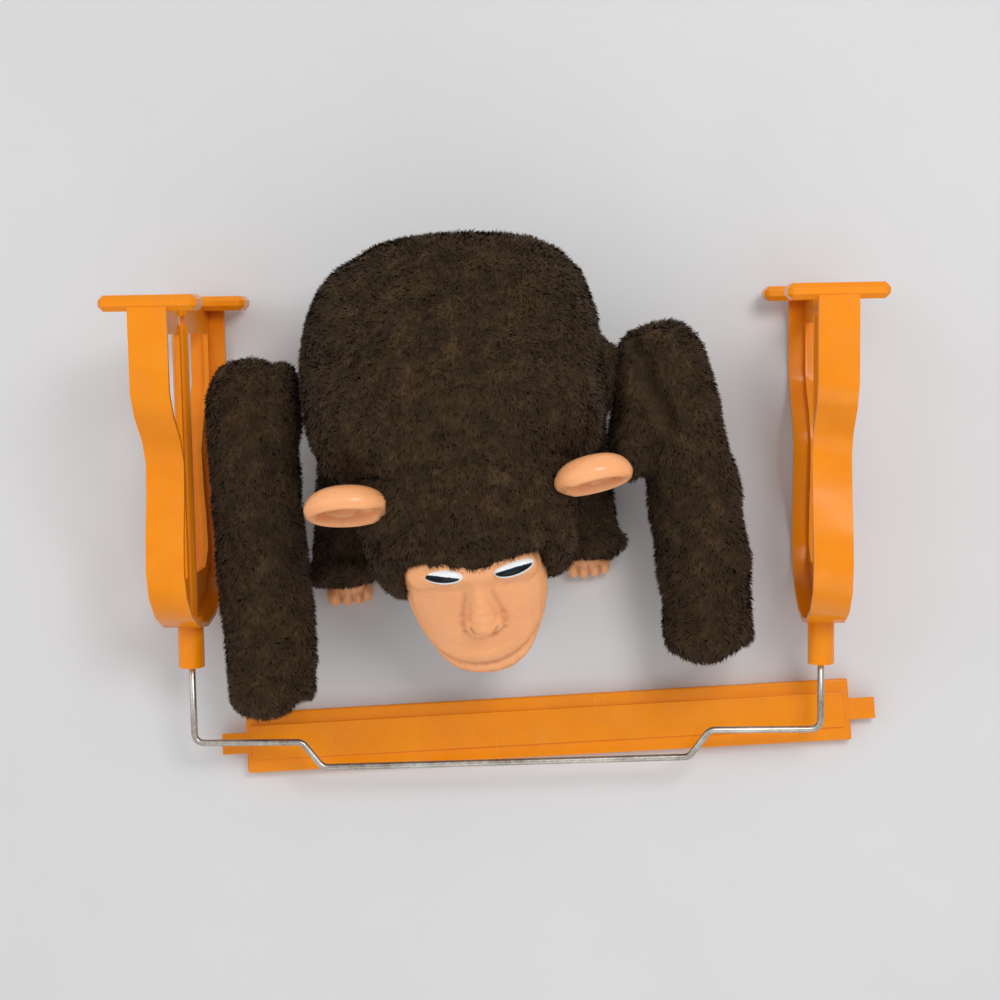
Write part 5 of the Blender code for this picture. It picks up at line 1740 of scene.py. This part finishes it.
@dataclass
class Studio:
    """Plain pale ground, soft light from all round and a camera over the set."""

    level: float = 0.62
    place: Triple = (0.056218, -0.07575, 1.150)
    across: Triple = (0.9984, -0.007, -0.0569)
    upward: Triple = (0.0112, 0.9971, 0.0751)
    lens: float = 63.0
    lamps: tuple[tuple[str, Triple, float, float], ...] = (
        ("key", (0.42, 0.34, 1.20), 0.42, 5.6),
        ("fill", (-0.95, 0.25, 0.85), 0.90, 2.2),
        ("front", (0.10, -1.10, 0.80), 0.90, 2.0),
    )

    def build(self) -> None:
        """Sets the ground, the world, the lamps, the camera and the view."""
        self.ground()
        self.world()
        for name, place, size, power in self.lamps:
            self.lamp(name, Vector(place), size, power)
        self.camera()
        bpy.context.scene.view_settings.view_transform = "Standard"

    def ground(self) -> None:
        """Lays the floor under the set."""
        shape = bmesh.new()
        bmesh.ops.create_grid(shape, x_segments=1, y_segments=1, size=6.0)
        mesh = bpy.data.meshes.new("ground")
        shape.to_mesh(mesh)
        shape.free()
        floor = linked("ground", mesh)
        floor.location.z = CAD_BOX[0][2] - 0.0002
        Floor().cover(floor)

    def world(self) -> None:
        """Lights the scene evenly."""
        world = bpy.data.worlds.new("soft_surround")
        world.use_nodes = True
        background = world.node_tree.nodes["Background"]
        background.inputs["Color"].default_value = (1.0, 1.0, 1.0, 1.0)
        background.inputs["Strength"].default_value = self.level
        bpy.context.scene.world = world

    def lamp(self, name: str, place: Vector, size: float, power: float) -> None:
        """Hangs one soft box that faces the set.

        Args:
            name: Its name.
            place: Where it hangs, in metres.
            size: Its side, in metres.
            power: Its power, in watts.
        """
        light = bpy.data.lights.new(name, "AREA")
        light.shape = "SQUARE"
        light.size = size
        light.energy = power
        made = bpy.data.objects.new(name, light)
        made.location = place
        made.rotation_euler = (-place).to_track_quat("-Z", "Y").to_euler()
        bpy.context.scene.collection.objects.link(made)

    def camera(self) -> None:
        """Hangs the camera over the set."""
        lens = bpy.data.cameras.new("over_the_set")
        lens.lens = self.lens
        lens.sensor_width = 36.0
        lens.clip_start = 0.01
        made = bpy.data.objects.new("over_the_set", lens)
        made.matrix_world = axes_at(self.place, self.across, self.upward)
        bpy.context.scene.collection.objects.link(made)
        bpy.context.scene.camera = made


# What is built


@dataclass
class Ape:
    """The ape: six stuffed forms in pile, and the vinyl face, ears, hands and feet.

    The brow and the cheeks are given across and up the face, the sides and the crease in world places.
    A row of toes gives each toe's place across the foot and its half width.
    """

    brow: tuple[Pair, ...] = (
        (-0.036, 0.0600),
        (-0.022, 0.0565),
        (-0.010, 0.0530),
        (0.001, 0.0510),
        (0.010, 0.0508),
        (0.016, 0.0540),
        (0.025, 0.0585),
        (0.035, 0.0600),
    )
    cheeks: tuple[tuple[Pair, Pair, float], ...] = (
        ((-0.0470, 0.0305), (-0.0479, 0.0465), 0.0140),
        ((0.0440, 0.0390), (0.0520, 0.0500), 0.0110),
    )
    sides: tuple[Triple, ...] = (
        (-0.0720, -0.0130, 0.105),
        (-0.0700, -0.0230, 0.103),
        (-0.0670, -0.0320, 0.100),
        (-0.0610, -0.0410, 0.096),
        (0.0295, -0.0020, 0.108),
        (0.0280, -0.0180, 0.104),
        (0.0270, -0.0230, 0.100),
        (0.0250, -0.0270, 0.098),
    )
    crease: tuple[Triple, ...] = (
        (0.0755, 0.0990, 0.102),
        (0.0825, 0.0835, 0.113),
        (0.0877, 0.0653, 0.114),
        (0.0915, 0.0562, 0.112),
        (0.0969, 0.0475, 0.111),
    )
    hollow: tuple[Triple, ...] = ((-0.0965, 0.1080, 0.0440), (-0.0820, 0.1270, 0.0440))
    toes_left: tuple[Pair, ...] = (
        (-0.0400, 0.0054),
        (-0.0318, 0.0047),
        (-0.0246, 0.0043),
        (-0.0188, 0.0040),
    )
    toes_right: tuple[Pair, ...] = (
        (0.0034, 0.0044),
        (0.0097, 0.0046),
        (0.0168, 0.0048),
        (0.0232, 0.0040),
    )
    toe_tips: Pair = (-0.1655, -0.1636)
    comb: Triple = (0.05, -1.0, -0.3)

    def limb_axes(self) -> dict[str, Matrix]:
        """The axes of the arms and legs, as on the CAD.

        Returns:
            The axes by limb.
        """
        arm, leg = (-0.093, 0.96583, 0.24192), (-0.09585, 0.9954, 0.0)
        return {
            "arm_left": axes_at((-0.15841, 0.055779, 0.092), CROSS, arm),
            "arm_right": axes_at((0.097407, 0.080411, 0.092), CROSS, arm),
            "leg_left": axes_at((-0.092337, 0.110363, 0.029), CROSS, leg),
            "leg_right": axes_at((0.021138, 0.121289, 0.029), CROSS, leg),
        }

    def head_fur(self) -> tuple[Lump, ...]:
        """The fur that hangs over the brow and down both cheeks.

        Returns:
            Its lumps.
        """
        made = [Lump((across, up, 0.0095), (0.011, 0.0085, 0.0100), FACE_AXES) for across, up in self.brow]
        for lower, upper, half in self.cheeks:
            made.append(Lump((*lower, 0.002), (0.0060, half, 0.010), FACE_AXES))
            made.append(Lump((*upper, 0.000), (0.0078, half + 0.001, 0.012), FACE_AXES))
        made += [Lump(side, (0.0150, 0.0140, 0.0200)) for side in self.sides]
        return tuple(made)

    def torso(self) -> Plush:
        """The torso, with its nape, the collar round the right shoulder and a hollow under the hip.

        Returns:
            The form.
        """
        nape = Lump((-0.029, 0.028, 0.136), (0.058, 0.024, 0.033))
        collar = Lump((0.0640, 0.0800, 0.092), (0.0075, 0.0225, 0.0150))
        return Plush(
            "torso_plush",
            "torso",
            voxel=0.0034,
            relax=5,
            pile=Pile(seed=11, comb=Vector(self.comb)),
            extra=(nape, collar),
            seams=(Seam(self.hollow, 0.0150, 0.0032),),
        )

    def head(self) -> Plush:
        """The head, pressed back behind the ears.

        Returns:
            The form.
        """
        return Plush(
            "head_plush",
            "torso",
            voxel=0.0026,
            relax=3,
            pile=Pile(seed=23, comb=Vector(self.comb)),
            extra=self.head_fur(),
            ears=(Ear(-1).axes(), Ear(1).axes()),
        )

    def sleeves(self) -> list[Plush]:
        """The arms, with the shoulders' folds and a cuff over each hand.

        Returns:
            The left and the right arm.
        """
        shoulder = Lump((-0.1380, 0.060, 0.094), (0.0115, 0.030, 0.024))
        lobe = Lump((0.0785, 0.066, 0.091), (0.0130, 0.042, 0.0215))
        fold = Lump((0.0765, 0.046, 0.090), (0.0135, 0.032, 0.0190))
        cuff = (0.0200, 0.0155, 0.0130)
        left = Plush(
            "arm_left_plush",
            "arms",
            voxel=0.0028,
            relax=4,
            pile=Pile(seed=31, comb=Vector(self.comb)),
            extra=(shoulder, Lump((-0.1510, -0.1120, 0.0710), cuff)),
        )
        right = Plush(
            "arm_right_plush",
            "arms",
            voxel=0.0024,
            relax=4,
            pile=Pile(seed=37, comb=Vector(self.comb)),
            extra=(lobe, fold, Lump((0.1225, -0.0800, 0.0720), cuff)),
            seams=(Seam(self.crease, 0.0048, 0.0075),),
        )
        return [left, right]

    def legs(self) -> list[Plush]:
        """The legs, each with a cuff over its foot.

        Returns:
            The left and the right leg.
        """
        axes = self.limb_axes()
        cuffs = (
            Lump((-0.0300, -0.1440, 0.0010), (0.0270, 0.0105, 0.0190), axes["leg_left"]),
            Lump((0.0130, -0.1425, 0.0010), (0.0270, 0.0100, 0.0190), axes["leg_right"]),
        )
        made = []
        for side, seed, cuff in (("left", 41, cuffs[0]), ("right", 43, cuffs[1])):
            pile = Pile(seed=seed, comb=Vector(self.comb))
            made.append(Plush(f"leg_{side}_plush", "legs", voxel=0.0028, relax=4, pile=pile, extra=(cuff,)))
        return made

    def toes(self, side: str) -> tuple[tuple[Triple, Triple], ...]:
        """One foot's body and its four toes, in the leg's own axes.

        Args:
            side: "left" or "right".

        Returns:
            The place and the half sizes of each.
        """
        row, tip = self.toes_left, self.toe_tips[0]
        if side == "right":
            row, tip = self.toes_right, self.toe_tips[1]
        middle = (row[0][0] + row[-1][0]) / 2
        made = [((middle, tip + 0.0150, -0.0185), (0.0140, 0.0115, 0.0100))]
        for step, (across, half) in enumerate(row):
            back = 0.0004 * (step - 1.3) ** 2
            made.append(((across, tip + 0.0078 + back, -0.0200), (half, 0.0078, 0.0086)))
        return tuple(made)

    def build(self) -> None:
        """Builds the plush, then the face, eyes and ears, then the hands and feet."""
        for form in (self.torso(), self.head(), *self.sleeves(), *self.legs()):
            form.build()
        face = Face()
        face.build()
        for side in (-1, 1):
            Eye(side, face).build()
            Ear(side).build()
        axes = self.limb_axes()
        for side in ("left", "right"):
            Limb(f"hand_{side}", "arms", axes[f"arm_{side}"]).build()
            Limb(f"foot_{side}", "legs", axes[f"leg_{side}"], self.toes(side), whole=False).build()


CAD_FINISHES: tuple[tuple[Finish, tuple[str, ...]], ...] = (
    (CASING, ("head_shell", "neck_post", "casing_back", "casing_front", "battery_tray")),
    (CASING, ("battery_door", "switch_housing", "arm_left_core", "arm_right_core")),
    (GEAR_PLASTIC, ("switch_slider", "output_wheel", "idler_wheel", "motor_pinion")),
    (CELL_JACKET, ("battery_upper", "battery_lower")),
    (BRASS, ("contact_bridge", "contact_upper", "contact_lower")),
    (SHAFT_STEEL, ("motor", "gearbox_plate_inner", "gearbox_plate_outer")),
    (SHAFT_STEEL, tuple(f"gearbox_bolt_{number}" for number in (1, 2, 3))),
    (SHAFT_STEEL, ("idler_pin", "shoulder_shaft", "hip_axle")),
)


def main() -> None:
    """Builds every piece in turn, then the studio."""
    logging.basicConfig(level=logging.INFO, format="%(name)s: %(message)s")
    log.info("dressed %d carried solids", Mouldings(CAD_FINISHES).build())
    for node in ("stand_left", "stand_right", "spreader_beam"):
        FramePiece(node).build()
    WireBar().build()
    Ape().build()
    Studio().build()


if __name__ == "__main__":
    main()
